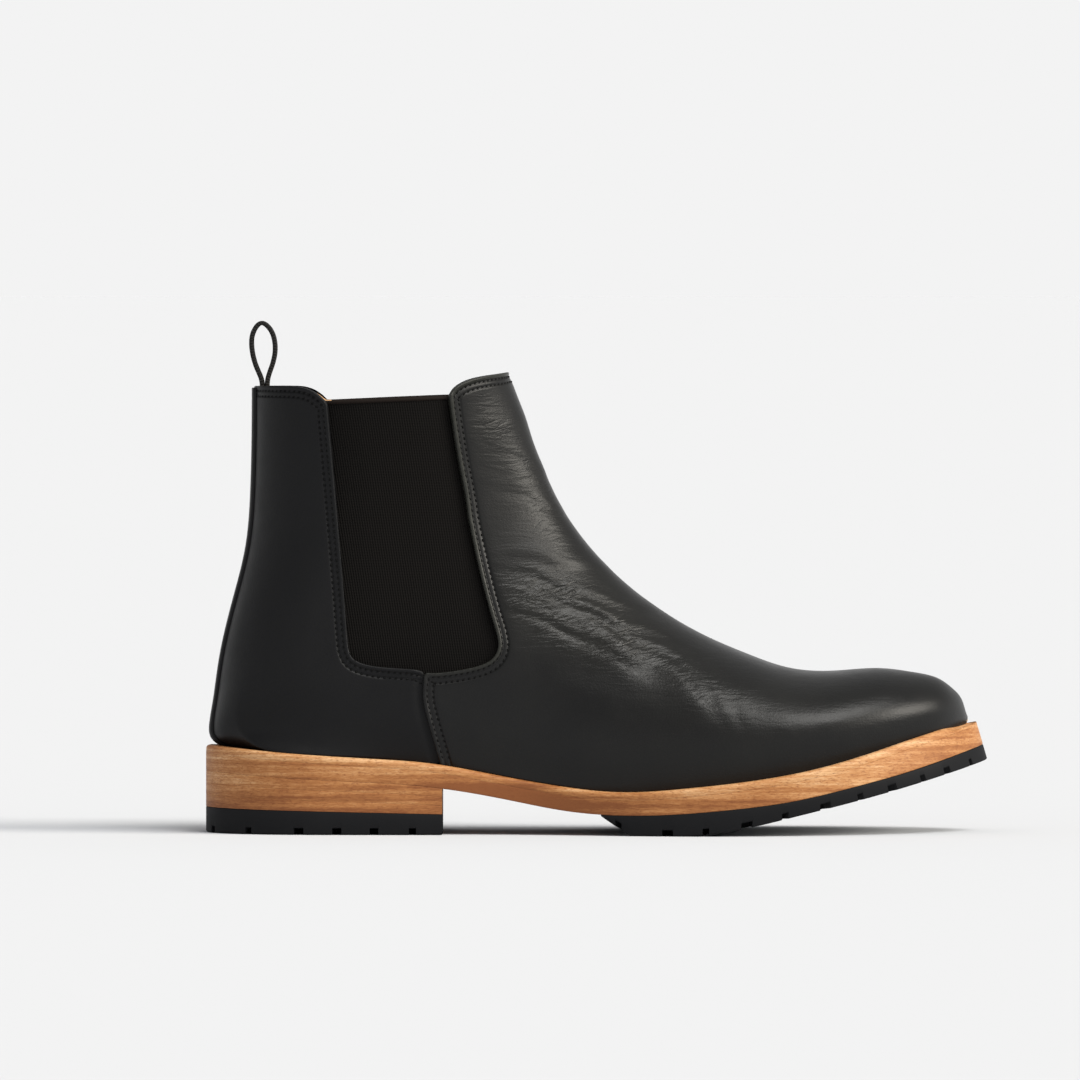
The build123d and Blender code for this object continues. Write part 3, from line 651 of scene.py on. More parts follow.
def elastic_material(name):
    """Ribbed elastic: fine cords along the boot's height, crossed by a closer weave."""
    n = Nodes(name)
    s, t = n.weave()
    ribs = n.wave(s, 0.95)
    cross = n.wave(t, 0.62)
    height = n.math("ADD", ribs, n.math("MULTIPLY", cross, 0.45))
    fuzz = n.noise(n.place(), 2600.0, 2.0)
    wide = n.noise(n.place(scale=(160, 160, 6)), 1.0, 2.0)
    # colour follows the ribs' height, darker down between ribs and threads: painted shade in the grooves
    colour = n.mix((0.0014, 0.0012, 0.0011), (0.0066, 0.0057, 0.0052), n.remap(height, -1.2, 1.4))
    colour = n.mix(colour, (0.0052, 0.0045, 0.0041), n.math("MULTIPLY", wide, 0.5))
    normal = n.bump(height, 0.00009, 0.9)
    normal = n.bump(fuzz, 0.00005, 0.5, normal)
    return n.finish(Base_Color=colour, Roughness=0.85, Normal=normal, Specular_IOR_Level=0.08)


def webbing_material(name):
    n = Nodes(name)
    s, t = n.weave()
    shifted = n.math("ADD", s, n.math("MULTIPLY", n.math("PINGPONG", t, 1.3), 0.7))
    twill = n.wave(shifted, 1.1)
    yarn = n.wave(t, 0.55)
    height = n.math("ADD", twill, n.math("MULTIPLY", yarn, 0.5))
    # colour follows the weave's height, darker down between yarns: painted shade in the grooves
    colour = n.mix((0.004, 0.004, 0.004), (0.018, 0.017, 0.016), n.remap(height, -1.2, 1.4))
    return n.finish(
        Base_Color=colour, Roughness=0.8, Normal=n.bump(height, 0.00012, 0.9), Specular_IOR_Level=0.2,
    )


def plain_leather_material(name, pale, dark, scale=700.0):
    n = Nodes(name)
    where = n.place()
    cloudy = n.noise(where, 30.0, 4.0)
    fine = n.noise(where, scale, 4.0)
    colour = n.mix(pale, dark, n.remap(cloudy, 0.35, 0.7))
    colour = n.mix(colour, dark, n.math("MULTIPLY", n.remap(fine, 0.5, 0.8), 0.4))
    return n.finish(
        Base_Color=colour, Roughness=n.remap(fine, 0.3, 0.7, 0.62, 0.78), Normal=n.bump(fine, 0.0001, 0.5),
        Specular_IOR_Level=0.3,
    )


def cork_material(name):
    n = Nodes(name)
    cells = n.add("ShaderNodeTexVoronoi", {"Vector": n.place(), "Scale": 520.0}, feature="F1")
    colour = n.ramp(cells.outputs["Distance"], [(0.1, (0.42, 0.26, 0.13)), (0.7, (0.24, 0.13, 0.06))])
    return n.finish(Base_Color=colour, Roughness=0.85, Normal=n.bump(cells.outputs["Distance"], 0.0004, 0.6))


def steel_material(name):
    n = Nodes(name)
    brushed = n.noise(n.place(scale=(30, 900, 900)), 1.0, 4.0)
    return n.finish(
        Base_Color=n.mix((0.50, 0.50, 0.51), (0.62, 0.62, 0.62), brushed), Metallic=1.0,
        Roughness=n.remap(brushed, 0.2, 0.8, 0.28, 0.42),
    )


def thread_material(name, colour_a, colour_b):
    n = Nodes(name)
    twist = n.noise(n.place(scale=(2500, 2500, 2500)), 1.0, 2.0)
    return n.finish(
        Base_Color=n.mix(colour_a, colour_b, twist), Roughness=0.75, Normal=n.bump(twist, 0.0001, 0.6),
        Specular_IOR_Level=0.08,
    )


BLACK = leather_material(
    "black_leather", (0.0048, 0.0049, 0.0052), (0.0078, 0.0078, 0.0074), 0.36, 0.21, True,
)
# leather of the quarters and back strip: the black leather again, made darker and matter, as painted shade on
# the rear, which faces away from the lamps
REAR_LEATHER_SHADED = leather_material(
    "black_leather_rear_shaded", (0.0045, 0.0046, 0.0052), (0.0064, 0.0065, 0.0072), 0.47, 0.15, False,
)
TAN = sole_leather_material("sole_edge_leather", 0.16)
STACK = sole_leather_material("stacked_heel_leather", 0.15)
RUBBER = rubber_material("lug_rubber")
ELASTIC = elastic_material("ribbed_elastic")
WEBBING = webbing_material("woven_webbing")
LINING = plain_leather_material("tan_lining", (0.60, 0.38, 0.20), (0.48, 0.28, 0.14))
BOARD = plain_leather_material("insole_board", (0.60, 0.44, 0.29), (0.46, 0.32, 0.20), 400.0)
STIFFENER = plain_leather_material("stiffener_board", (0.55, 0.44, 0.31), (0.42, 0.32, 0.22), 300.0)
CORK = cork_material("granular_cork")
STEEL = steel_material("brushed_steel")
THREAD = thread_material("black_thread", (0.0022, 0.0022, 0.0022), (0.006, 0.006, 0.006))
WELT_THREAD = thread_material("welt_thread", (0.55, 0.40, 0.24), (0.72, 0.56, 0.36))
BINDING = thread_material("dark_binding", (0.006, 0.005, 0.0045), (0.014, 0.009, 0.007))


# ------------------------------------------------
# Panels of the upper
def seated(points):
    """Pushes the bottom of the heel's wall out, so that it stands on the welt without a gap."""
    x, y, z = points[..., 0], points[..., 1], points[..., 2]
    above = np.maximum(z - line_at(WELT_TOP, x), 0)
    away = np.stack([np.minimum(x + 112.0, 0.0), y], -1)
    reach = np.linalg.norm(away, axis=-1, keepdims=True) + 1e-9
    away /= reach
    push = 5.0 * np.exp(-((above / 5.2) ** 1.3)) * smoothstep(reach[..., 0], 12, 26)
    push *= smoothstep(x, -76, -116) * (0.62 + 0.38 * np.clip(-away[..., 0], 0, 1))
    moved = points.copy()
    moved[..., :2] += away * push[..., None]
    return moved


last, square_rows = upper_grid()
last_normals = grid_normals(last)
grid = seated(last)
normals = grid_normals(grid)
rows, cols = grid.shape[:2]
X, Y, Z = grid[..., 0], grid[..., 1], grid[..., 2]

BEHIND = [(-190, -40), (-190, 230), (-106.3, 230)]  # closes an outline behind the boot
SEAM_LAP = 6.5
collar_polygon = np.vstack([chaikin(COLLAR), [(190, 230), (190, -40), (-190, -40)]])
gore_line = chaikin(GORE)
seam_line = chaikin(SIDE_SEAM)
gore_low = np.argmin(np.hypot(gore_line[:, 0] + 67.2, gore_line[:, 1] - 63.2))
front_polygon = np.vstack([seam_line[::-1][:-2], gore_line[gore_low:], [(-59, 230), (190, 230), (190, 0)]])
rear_polygon = np.vstack([gore_line[: gore_low + 1], seam_line[2:], BEHIND])

d_collar = polygon_distance(collar_polygon, X, Z)
d_gore = polygon_distance(gore_line, X, Z)
d_front = polygon_distance(front_polygon, X, Z)
d_rear = polygon_distance(rear_polygon, X, Z)
flat_sole = square_rows[:, None] > 0.9
column = np.arange(cols)
from_keel = np.minimum(column, cols - 1 - column)
bottom_cut = np.where(flat_sole & (from_keel[None, :] < 17), -1.0, 1.0)


def blob(x0, z0, sx, sz, tilt=0.0):
    """A soft patch in side view, 1 in its middle."""
    c, s = math.cos(tilt), math.sin(tilt)
    a, b = (X - x0) * c + (Z - z0) * s, -(X - x0) * s + (Z - z0) * c
    return np.exp(-((a / sx) ** 2) - (b / sz) ** 2)


# creases: strongest ahead of the gore's lower corner, fading over the instep and up the shaft
crease = 1.0 * blob(-8, 84, 30, 13, -0.42) + 0.40 * blob(-22, 130, 12, 26, 0.4)
crease = crease + 0.40 * blob(40, 58, 26, 12, -0.5)
crease += 0.35 * blob(-42, 160, 9, 12) + 0.10 + 0.15 * blob(90, 52, 30, 10)
crease = np.clip(crease, 0, 1)
crease *= smoothstep(d_front, 1.0, 8.0)

# folds: narrow valleys with a shoulder, then broad swells, both fading towards the panel's edge
wobble = 1.6 * np.sin(X / 9.0 + 1.3) + 1.1 * np.sin(X / 4.1 + Y / 15.0)
folds = np.zeros_like(X)
for x0, z0, sx, tilt, depth, width in (
    (-6, 93, 26, -0.30, 0.55, 2.0), (2, 84, 24, -0.38, 0.75, 1.8), (-12, 79, 24, -0.33, 0.45, 1.7),
    (12, 77, 20, -0.52, 0.50, 1.6), (-16, 104, 18, -0.12, 0.30, 2.4), (6, 70, 22, -0.45, 0.35, 2.2),
    (-24, 128, 12, -0.40, 0.30, 1.8), (-28, 143, 10, -0.55, 0.25, 1.6), (34, 62, 16, -0.9, 0.20, 2.4),
    (44, 55, 16, -1.1, 0.17, 2.6), (54, 48, 14, -1.2, 0.12, 2.8),
):
    c, s = math.cos(tilt), math.sin(tilt)
    a = (X - x0) * c + (Z - z0) * s
    b = -(X - x0) * s + (Z - z0) * c + wobble * 0.55
    valley = np.exp(-((b / width) ** 2))
    shoulder = 0.45 * np.exp(-(((b - 2.6 * width / 2) / width) ** 2))
    folds -= depth * np.exp(-((a / sx) ** 2)) * (valley - shoulder)
for x0, z0, sx, sz, tilt, height in (
    (-2.7, 87.3, 10, 6, -0.35, 0.75), (-16.4, 98.5, 14, 6, -0.25, -0.75), (7.0, 73.6, 10, 6, -0.5, 0.65),
    (-3.0, 63.0, 15, 7, -0.2, -0.50), (36.0, 55.0, 11, 8, -0.8, 0.50), (20.7, 66.5, 8, 6, -0.7, -0.45),
    (-30.0, 142.0, 6, 13, 0.35, 0.35), (-24.0, 120.0, 8, 9, 0.3, -0.35), (60.0, 44.0, 10, 9, -0.6, -0.35),
):
    folds += height * blob(x0, z0, sx, sz, tilt) * (0.85 - 0.25 * np.tanh(Y / 15.0))
folds *= smoothstep(d_front, 1.0, 9.0)


def bead(d):
    """Turned-in edge: a low rounded bead, then a shallow trough along the stitching."""
    return 0.85 * np.exp(-(((d - 0.8) / 1.0) ** 2)) - 0.22 * np.exp(-(((d - 3.2) / 1.6) ** 2))


relief_front = folds + bead(np.minimum(d_front, d_collar + 1.2))
relief_rear = -1.0 * smoothstep(-(polygon_distance(front_polygon, X, Z)), 4.5, 0.2) * (Z < 66)
relief_rear += bead(np.minimum(np.where(Z < GORE_FOOT, np.abs(d_gore), d_rear), d_collar + 1.2)) * 0.8
seam_front = np.minimum(d_front, d_collar)
seam_rear = np.minimum(np.where(Z < GORE_FOOT, np.abs(d_gore), d_rear), d_collar)
seam_rear = np.where(Z < 60, 30.0, seam_rear)


def panel(relief, keep, seam, depth=0.0):
    """Points and triangles of the part of the upper where keep > 0, moved out by relief."""
    surface, n = (last, last_normals) if depth > 0 else (grid, normals)
    co = surface + n * (relief - depth)[..., None]
    points = {
        "co": co.reshape(-1, 3), "n": n.reshape(-1, 3), "keep": keep.ravel(), "seam": seam.ravel(),
        "crease": crease.ravel(), "x": (X - BORDER_X).ravel(), "y": Y.ravel(),
        "bottom": np.broadcast_to(bottom_cut, X.shape).ravel(),
    }
    faces = grid_triangles(rows, cols)
    faces = faces[points["bottom"][faces].min(1) > 0]
    return clip(points, faces, "keep")


def side_of(points, faces, sign):
    points = dict(points)
    points["side"] = sign * points["y"] + (0.0 if sign > 0 else 1e-9)
    return clip(points, faces, "side")


def beyond(points, faces, sign):
    points = dict(points)
    points["split"] = sign * points["x"]
    return clip(points, faces, "split")


ROLL = 0.55  # radius of a leather panel's rolled edge
TAU = 2 * math.pi
boot, shaft, fore, loop = "boot", "shaft_front", "forefoot", "pull_loop"
SHAFT_FOLD = dict(start=(-0.0383, 0, 0.0743), end=(-0.0578, 0, 0.1703))
TOE_BEND = dict(start=(0.017, 0, 0.0274), end=(0.071, 0, 0.0274))

zero = np.zeros_like(X)
front_points, front_faces = panel(relief_front, np.minimum(d_front, d_collar) - ROLL, seam_front)
for name, sign, pair, fold, stands in (
    ("vamp_shaft", -1, (boot, shaft), SHAFT_FOLD, ["front_shaft", "vamp_instep"]),
    ("vamp_lower", 1, (boot, fore), TOE_BEND, ["vamp_toe", "vamp_flex_zone"]),
):
    p, f = beyond(front_points, front_faces, sign)
    p, f = with_edge(p, f, "keep", ROLL, LEATHER)
    obj = make(name, p["co"], f, BLACK, seam=p["seam"], crease=p["crease"])
    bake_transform(obj)
    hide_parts(*stands)

# below the gore the quarter runs on under the vamp, by SEAM_LAP
lapped_seam = seam_line[2:] + [SEAM_LAP, 0]
lapped_polygon = np.vstack([gore_line[: gore_low + 1], lapped_seam, BEHIND])
d_lapped = polygon_distance(lapped_polygon, X, Z)
keep_rear = np.minimum(np.where(Z < LAP_TOP, d_lapped, d_rear), d_collar)
rear_points, rear_faces = panel(relief_rear, keep_rear - ROLL, seam_rear)
quarters = []
for name, sign in (("quarter_lateral", -1), ("quarter_medial", 1)):
    p, f = side_of(rear_points, rear_faces, sign)
    quarters.append((p, f))
    p, f = with_edge(p, f, "keep", ROLL, LEATHER)
    obj = make(f"{name}_panel", p["co"], f, REAR_LEATHER_SHADED, seam=p["seam"], crease=p["crease"])
    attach(obj, boot)
    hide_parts(name)

# elastic gores, sewn in under the leather
under_gore_top = [(-190, 168.4), *GORE_TOP, (-10, 171.4), (-10, -40), (-190, -40)]
gore_keep = np.minimum(d_gore + 6.0, polygon_distance(under_gore_top, X, Z))
gore_bulge = 0.5 * smoothstep(d_gore, 0, 14)
gore_points, gore_faces = panel(gore_bulge, gore_keep, np.abs(d_gore), depth=GORE_IN)
t_axis = np.array([0.7986, 0.6018])
low_t, high_t = 17.0, 55.8
start_xz = np.array([-90.0, 0.0])
start_xz[1] = (low_t - start_xz[0] * t_axis[0]) / t_axis[1]
for name, sign in (("gore_lateral", -1), ("gore_medial", 1)):
    p, f = side_of(gore_points, gore_faces, sign)
    co = p["co"]
    weave = np.column_stack([co[:, 0] + 0.16 * (co[:, 2] - 120), co[:, 2], co[:, 1] * 0])
    inner = co - p["n"] * ELASTIC_THICKNESS
    a, b = open_edges(f).T
    under = len(co)
    walls = np.stack([b, a, a + under], 1), np.stack([b, a + under, b + under], 1)
    faces = np.concatenate([f, f[:, ::-1] + under, *walls])
    obj = make(f"{name}_elastic", np.vstack([co, inner]), faces, ELASTIC, weave=np.vstack([weave, weave]))
    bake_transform(obj)
    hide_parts(name)

# lining
lining_top = d_collar - 1.5 + 2.2 * np.exp(-(((X + 104.6) / 2.2) ** 2)) * (Z > 150)
front_keep = np.minimum(np.where(Z < LAP_TOP, d_front + 1.0, d_front), lining_top)
p0, f0 = panel(zero, front_keep, seam_front, depth=LINING_IN)
for name, sign, pair, fold, stands in (
    ("lining_shaft_front", -1, (boot, shaft), SHAFT_FOLD, ["lining_front_shaft", "lining_instep"]),
    ("lining_forefoot", 1, (boot, fore), TOE_BEND, ["lining_toe", "lining_flex_zone"]),
):
    p, f = beyond(p0, f0, sign)
    p = dict(p, n=-p["n"])
    p, f = with_edge(p, f[:, ::-1], "keep", LINING_ROLL, LINING_EDGE)
    obj = make(name, p["co"], f, LINING)
    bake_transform(obj)
    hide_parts(*stands)
rear_keep = np.minimum(np.where(Z < LAP_TOP, d_rear + 0.5, d_rear), lining_top)
p0, f0 = panel(zero, rear_keep, seam_rear, depth=LINING_IN)
for name, sign in (("quarter_lining_lateral", -1), ("quarter_lining_medial", 1)):
    p, f = side_of(p0, f0, sign)
    p = dict(p, n=-p["n"])
    p, f = with_edge(p, f[:, ::-1], "keep", LINING_ROLL, LINING_EDGE)
    obj = make(f"{name}_leather", p["co"], f, LINING)
    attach(obj, boot)
    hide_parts(name)


# ------------------------------------------------
# Back strip: a narrow band over the seam of the two quarters, its edges rolled down
STRIP_HALF_WIDTH = 6.2
STRIP_FOOT, STRIP_TOP = 33.0, 174.3


def back_band(ys):
    """Points and normals across the back seam, at sideways distances ys, row by row."""
    points, directions = [], []
    near = np.arange(60)
    line = np.concatenate([near[::-1], cols - 1 - near[1:]])
    for i in range(rows):
        if flat_sole[i, 0] or not STRIP_FOOT < Z[i, 0] < STRIP_TOP:
            continue
        order = line[np.argsort(Y[i, line])]
        points.append(interpolate(ys, Y[i, order], grid[i, order]))
        directions.append(unit(interpolate(ys, Y[i, order], normals[i, order])))
    return np.array(points), np.array(directions)


strip_y = np.linspace(-STRIP_HALF_WIDTH, STRIP_HALF_WIDTH, 31)
strip_p, strip_n = back_band(strip_y)
lift = 0.15 + 1.0 * np.sqrt(np.clip(1 - (np.abs(strip_y) / STRIP_HALF_WIDTH) ** 8, 0, 1))
strip = strip_p + strip_n * lift[None, :, None]
quads = np.stack(grid_cells(*strip.shape[:2]), -1).reshape(-1, 4)
strip_edge = np.broadcast_to(STRIP_HALF_WIDTH - np.abs(strip_y), strip.shape[:2]).ravel() - 0.2
obj = make("back_strip_leather", strip.reshape(-1, 3), quads, REAR_LEATHER_SHADED, seam=strip_edge, crease=strip_edge * 0)
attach(obj, boot)
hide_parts("back_strip")


# ------------------------------------------------
# Stitching: short threads sunk into the leather, in rows beside each sewn edge
def stitch_rows(points, faces, wanted):
    """Centres, directions and normals of stitches along the cut edge of a panel."""
    tree = BVHTree.FromPolygons([Vector(c) for c in points["co"]], [tuple(map(int, f)) for f in faces])
    made = []
    for run in chains(cut_edges(points, faces, "keep")):
        if len(run) < 8:
            continue
        p, n = points["co"][run], points["n"][run]
        inward = -np.cross(unit(np.gradient(p, axis=0)), n)
        for offset in STITCH_ROWS:
            q = p + inward * (offset - ROLL)
            line = resample(q, 0.5)
            kernel = np.ones(5) / 5
            padded = np.vstack([line[:1]] * 2 + [line] + [line[-1:]] * 2)
            line = np.stack([np.convolve(padded[:, k], kernel, "valid") for k in range(3)], 1)
            line = resample(line, STITCH_PITCH)
            for a, b in zip(line[:-1], line[1:]):
                mid = (a + b) / 2
                hit, normal, _, _ = tree.find_nearest(Vector(mid))
                hit, normal = np.array(hit), np.array(normal)
                if not wanted(hit):
                    continue
                away = np.linalg.norm(p - hit, axis=1).min() + ROLL
                if away < offset - 0.45:  # too close to the edge beyond a corner
                    continue
                made.append((hit, (b - a) / np.linalg.norm(b - a), normal))
    return made


def stitch_mesh(name, stitches, material, length=1.7, radius=0.34, sink=0.16, slant=0.22):
    """All stitches of one piece as a single mesh of small rounded threads."""
    ring, around = [(-1.0, 0.0), (-0.86, 0.6), (-0.45, 0.96), (0.45, 0.96), (0.86, 0.6), (1.0, 0.0)], 6
    co, faces = [], []
    for centre, along, normal in stitches:
        side = np.cross(normal, along)
        side /= np.linalg.norm(side) + 1e-12
        along = along * math.cos(slant) + side * math.sin(slant)
        side = np.cross(normal, along)
        side /= np.linalg.norm(side) + 1e-12
        up = np.cross(along, side)
        up *= np.sign(up @ normal) or 1.0
        base = len(co)
        for a, r in ring:
            dip = radius * 0.9 * a * a
            for k in range(around):
                w = TAU * k / around
                co.append(
                    centre + along * a * length / 2 + side * r * radius * math.cos(w)
                    + up * (r * radius * math.sin(w) + radius * 0.35 - sink - dip)
                )
        for j in range(len(ring) - 1):
            for k in range(around):
                a, b = base + j * around + k, base + j * around + (k + 1) % around
                faces.append((a, b, b + around, a + around))
    return make(name, np.array(co), faces, material)


def above_sole(hit):
    return hit[2] > line_at(WELT_TOP, np.array([hit[0]]))[0] + 1.5


front_stitches = stitch_rows(front_points, front_faces, above_sole)
obj = stitch_mesh("vamp_stitching", front_stitches, THREAD)
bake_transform(obj)
rear_stitches = []
for p, f in quarters:
    rear_stitches += stitch_rows(p, f, lambda h: h[2] > 58.5 and (h[0] < -68.5 or h[2] > 100))
obj = stitch_mesh("quarter_stitching", rear_stitches, THREAD)
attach(obj, boot)


# ------------------------------------------------
# Sole
def closed_curve(points, step):
    """Closed smooth outline, counter-clockwise as given, resampled at equal steps."""
    p = np.array(points, float)
    tripled = np.vstack([p, p, p, p[:1]])
    s = arc_length(tripled)
    n = len(p)
    at = np.linspace(s[n], s[2 * n], 4000)
    return resample(cubic(s, tripled, at), step)[:-1]


def outline_ring(extra=()):
    """Sole outline points, outward normals and arc positions."""
    base = closed_curve(SOLE_OUTLINE, OUTLINE_STEP)
    s = np.arange(len(base)) * OUTLINE_STEP
    if len(extra):
        total = len(base) * OUTLINE_STEP
        at = np.unique(np.r_[s[::2], np.asarray(extra) % total])
        wrapped = np.vstack([base, base[:1]])
        ws = np.r_[s, total]
        base = interpolate(at, ws, wrapped)
        s = at
    t = unit(np.roll(base, -1, 0) - np.roll(base, 1, 0))
    n = np.column_stack([t[:, 1], -t[:, 0]])
    return base, n, s


def lean(x, z):
    """Rearward lean of the sole's edge at the toe, square to the rising sole."""
    slope = (line_at(WELT_TOP, x + 1) - line_at(WELT_TOP, x - 1)) / 2
    return smoothstep(x, 60, 130) * np.clip(slope, 0, 1) * np.maximum(z - line_at(RUBBER_BOTTOM, x), 0)


def ring_points(base, n, inset, z):
    """One row of points round the outline, moved in by inset, at height z(x)."""
    xy = base - n * inset
    height = z(xy[:, 0]) if callable(z) else z
    return np.column_stack([xy[:, 0] - lean(base[:, 0], height), xy[:, 1], height])


def sweep(rows_list):
    """Quads between successive closed rows of the same length."""
    n = len(rows_list[0])
    faces = []
    for r in range(len(rows_list) - 1):
        a = r * n + np.arange(n)
        b = r * n + (np.arange(n) + 1) % n
        faces.append(np.stack([a, b, b + n, a + n], 1))
    return np.vstack(rows_list), np.concatenate(faces)


def cap(row, start, up):
    """Triangles across one closed row, joining its two long sides by their x."""
    x = row[:, 0]
    back, front = int(np.argmin(x)), int(np.argmax(x))
    n = len(row)
    one = [(back + k) % n for k in range((front - back) % n + 1)]
    two = [(back - k) % n for k in range((back - front) % n + 1)]
    i = j = 0
    faces = []
    while i < len(one) - 1 or j < len(two) - 1:
        if j == len(two) - 1 or (i < len(one) - 1 and x[one[i + 1]] <= x[two[j + 1]]):
            faces.append((one[i], one[i + 1], two[j]))
            i += 1
        else:
            faces.append((one[i], two[j + 1], two[j]))
            j += 1
    faces = np.array([f for f in faces if len(set(f)) == 3]) + start
    return faces[:, ::-1] if up else faces


def layer(name, profile, material, ring=None, caps=(True, True), depth=None, waist_shade=0.0):
    """A sole layer: profile rows are (inset, z function); top row first."""
    base, n, _ = ring or outline_ring()
    rows_list = [ring_points(base, n, inset, z) for inset, z in profile]
    co, quads = sweep(rows_list)
    faces = [tuple(map(int, q[::-1])) for q in quads]
    if caps[0]:
        faces += [tuple(map(int, f)) for f in cap(rows_list[0], 0, True)]
    if caps[1]:
        faces += [tuple(map(int, f)) for f in cap(rows_list[-1], (len(rows_list) - 1) * len(base), False)]
    d = np.repeat(depth if depth is not None else np.linspace(0, 1, len(profile)), len(base))
    # waist_shade raises the depth tone round the waist, so the edge there is darker: painted shade where the
    # upper overhangs the sole
    return make(name, co, faces, material, depth=d + waist_shade * np.exp(-(((co[:, 0] + 30.0) / 27.0) ** 2)))


def at(line, offset=0.0):
    """Height of a sole line, raised by offset."""
    return lambda x: line_at(line, x) + offset


def lip(offset, drop):
    """Height of a row on the welt's lip, which falls away further round the toe."""
    return lambda x: line_at(WELT_TOP, x) + offset - drop * smoothstep(x, 138, 150)


sole_ring = outline_ring()
welt = layer("welt_strip", [
    (16.0, at(WELT_TOP, -0.2)), (9.0, at(WELT_TOP, -0.1)), (6.4, lip(0, 0.2)), (4.6, lip(0, 0.8)),
    (3.2, lip(0.05, 1.5)), (2.2, lip(0.02, 1.95)), (1.5, lip(-0.06, 2.2)), (0.9, lip(-0.28, 2.3)),
    (0.45, lip(-0.62, 2.2)), (0.16, lip(-1.1, 1.9)), (0.05, at(WELT_TOP, -1.8)),
    (0.02, at(WELT_TOP, -2.7)), (0.03, at(WELT_TOP, -3.2)),
    (0.08, at(WELT_TOP, -WELT)), (16.0, at(WELT_TOP, -WELT)),
], TAN, caps=(False, False), depth=[0] * 9 + [0.05, 0.1, 0.2, 0.3, 0.35, 0.35], waist_shade=1.9)
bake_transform(welt)
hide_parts("welt_front", "welt_rear")


def between(share):
    """Height between the midsole's top and bottom."""
    def height(x):
        top = line_at(WELT_TOP, x) - WELT
        return top + share * (line_at(MIDSOLE_BOTTOM, x) - line_at(WELT_TOP, x) + WELT)
    return height


midsole = layer("midsole_leather", [
    (14.0, between(0.0)), (0.08, between(0.0)), (0.02, between(0.01)), (0.0, between(0.03)),
    (0.0, between(0.3)), (0.0, between(0.5)), (0.0, between(0.8)), (0.0, between(0.96)),
    (0.05, between(0.99)), (0.2, between(1.0)), (14.0, between(1.0)),
], TAN, depth=[0.35, 0.35, 0.4, 0.45, 0.6, 0.75, 0.95, 1.1, 1.1, 1.1, 1.1], waist_shade=2.9)
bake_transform(midsole)
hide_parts("midsole_front", "midsole_rear")


def part_of_ring(ring, keep):
    """The run of an outline ring where keep is true, in order."""
    first = int(np.argmax(keep & ~np.roll(keep, 1)))
    order = [(first + k) % len(keep) for k in range(int(keep.sum()))]
    return tuple(values[order] for values in ring)


def heel_ring(extra=()):
    """The outline behind the heel's breast, closed by a flat face."""
    ring = outline_ring(extra)
    base, n, s = part_of_ring(ring, ring[0][:, 0] < HEEL_BREAST)
    ends = np.array([[HEEL_BREAST, base[0, 1]], [HEEL_BREAST, base[-1, 1]]])
    base = np.vstack([ends[:1], base, ends[1:]])
    n = np.vstack([[0, np.sign(ends[0, 1])], n, [0, np.sign(ends[1, 1])]])
    return base, n, np.r_[s[0] - 0.1, s, s[-1] + 0.1]


def heel_rubber_top(x):
    """Upper face of the heel's rubber, which falls evenly towards the breast."""
    return 10.1 + (7.9 - 10.1) * (x + 160) / 100


def heel_level(share):
    """Height between the midsole's bottom and the heel rubber's top."""
    return lambda x: (1 - share) * line_at(MIDSOLE_BOTTOM, x) + share * heel_rubber_top(x)


the_heel = heel_ring()
for k in range(3):
    a, b = k / 3, (k + 1) / 3
    lift_obj = layer(f"heel_lift_{k + 1}_leather", [
        (12.0, heel_level(a)), (0.08, heel_level(a)),
        (0.02, heel_level(a + 0.006)), (0.0, heel_level(a + 0.02)),
        (0.0, heel_level((a + b) / 2)), (0.0, heel_level(b - 0.02)), (0.02, heel_level(b - 0.006)),
        (0.08, heel_level(b)), (12.0, heel_level(b)),
    ], STACK, ring=the_heel, depth=np.linspace(0.8 + 0.35 * k, 1.15 + 0.35 * k, 9))
    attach(lift_obj, boot)
    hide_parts(f"heel_lift_{k + 1}")


def notch_marks(centres, widths):
    """Arc positions of the notch edges on both sides, and a test of which points lie in a notch."""
    base, _, s = outline_ring()
    spans = []
    for side in (-1, 1):
        on_side = (np.sign(base[:, 1] - 8.0 * smoothstep(base[:, 0], 100, 153)) == side)
        for x, w in zip(centres, widths):
            k = np.where(on_side, np.abs(base[:, 0] - x), 1e9)
            i = int(np.argmin(k))
            spans.append((s[i] - w / 2, s[i] + w / 2))
    marks = [m + d for a, b in spans for m in (a, b) for d in (-0.35, -0.02, 0.02, 0.35)]
    return marks, spans


def notch_lift(s, spans):
    """1 at the arc positions that lie in a notch, 0 between notches."""
    depth = np.zeros(len(s))
    for a, b in spans:
        depth = np.maximum(depth, ((s > a) & (s < b)).astype(float))
    return depth


def rubber_layer(name, centres, widths, top, bottom, heel):
    """A rubber tread with notches cut in from its edge."""
    marks, spans = notch_marks(centres, widths)
    ring = heel_ring(marks) if heel else outline_ring(marks)
    if not heel:
        ring = part_of_ring(ring, ring[0][:, 0] > 1.0)
    base, _, s = ring
    cutout = notch_lift(s, spans)

    def low(extra, share):
        def z(x):
            height = bottom(x) + extra
            if not heel:
                height = height + (top(x) - 0.3 - height) * np.clip((12.5 - x) / 11.5, 0, 1)
            return np.minimum(height + share * cutout * NOTCH_HEIGHT, top(x) - 0.2)
        return z

    profile = [
        (12.0, top), (0.4, top), (0.12, lambda x: top(x) - 0.15), (0.0, lambda x: top(x) - 0.5),
        (0.0, lambda x: 0.5 * (top(x) - 0.5) + 0.5 * low(NOTCH_HEIGHT * 0.9, 0.5)(x)),
        (0.0, low(0.5, 1.0)), (0.12, low(0.18, 1.0)), (0.45, low(0.0, 1.0)),
        (NOTCH_REACH - 0.1, low(0.0, 1.0)), (NOTCH_REACH, low(0.0, 0.0)),
    ]
    return layer(name, profile, RUBBER, ring=ring)


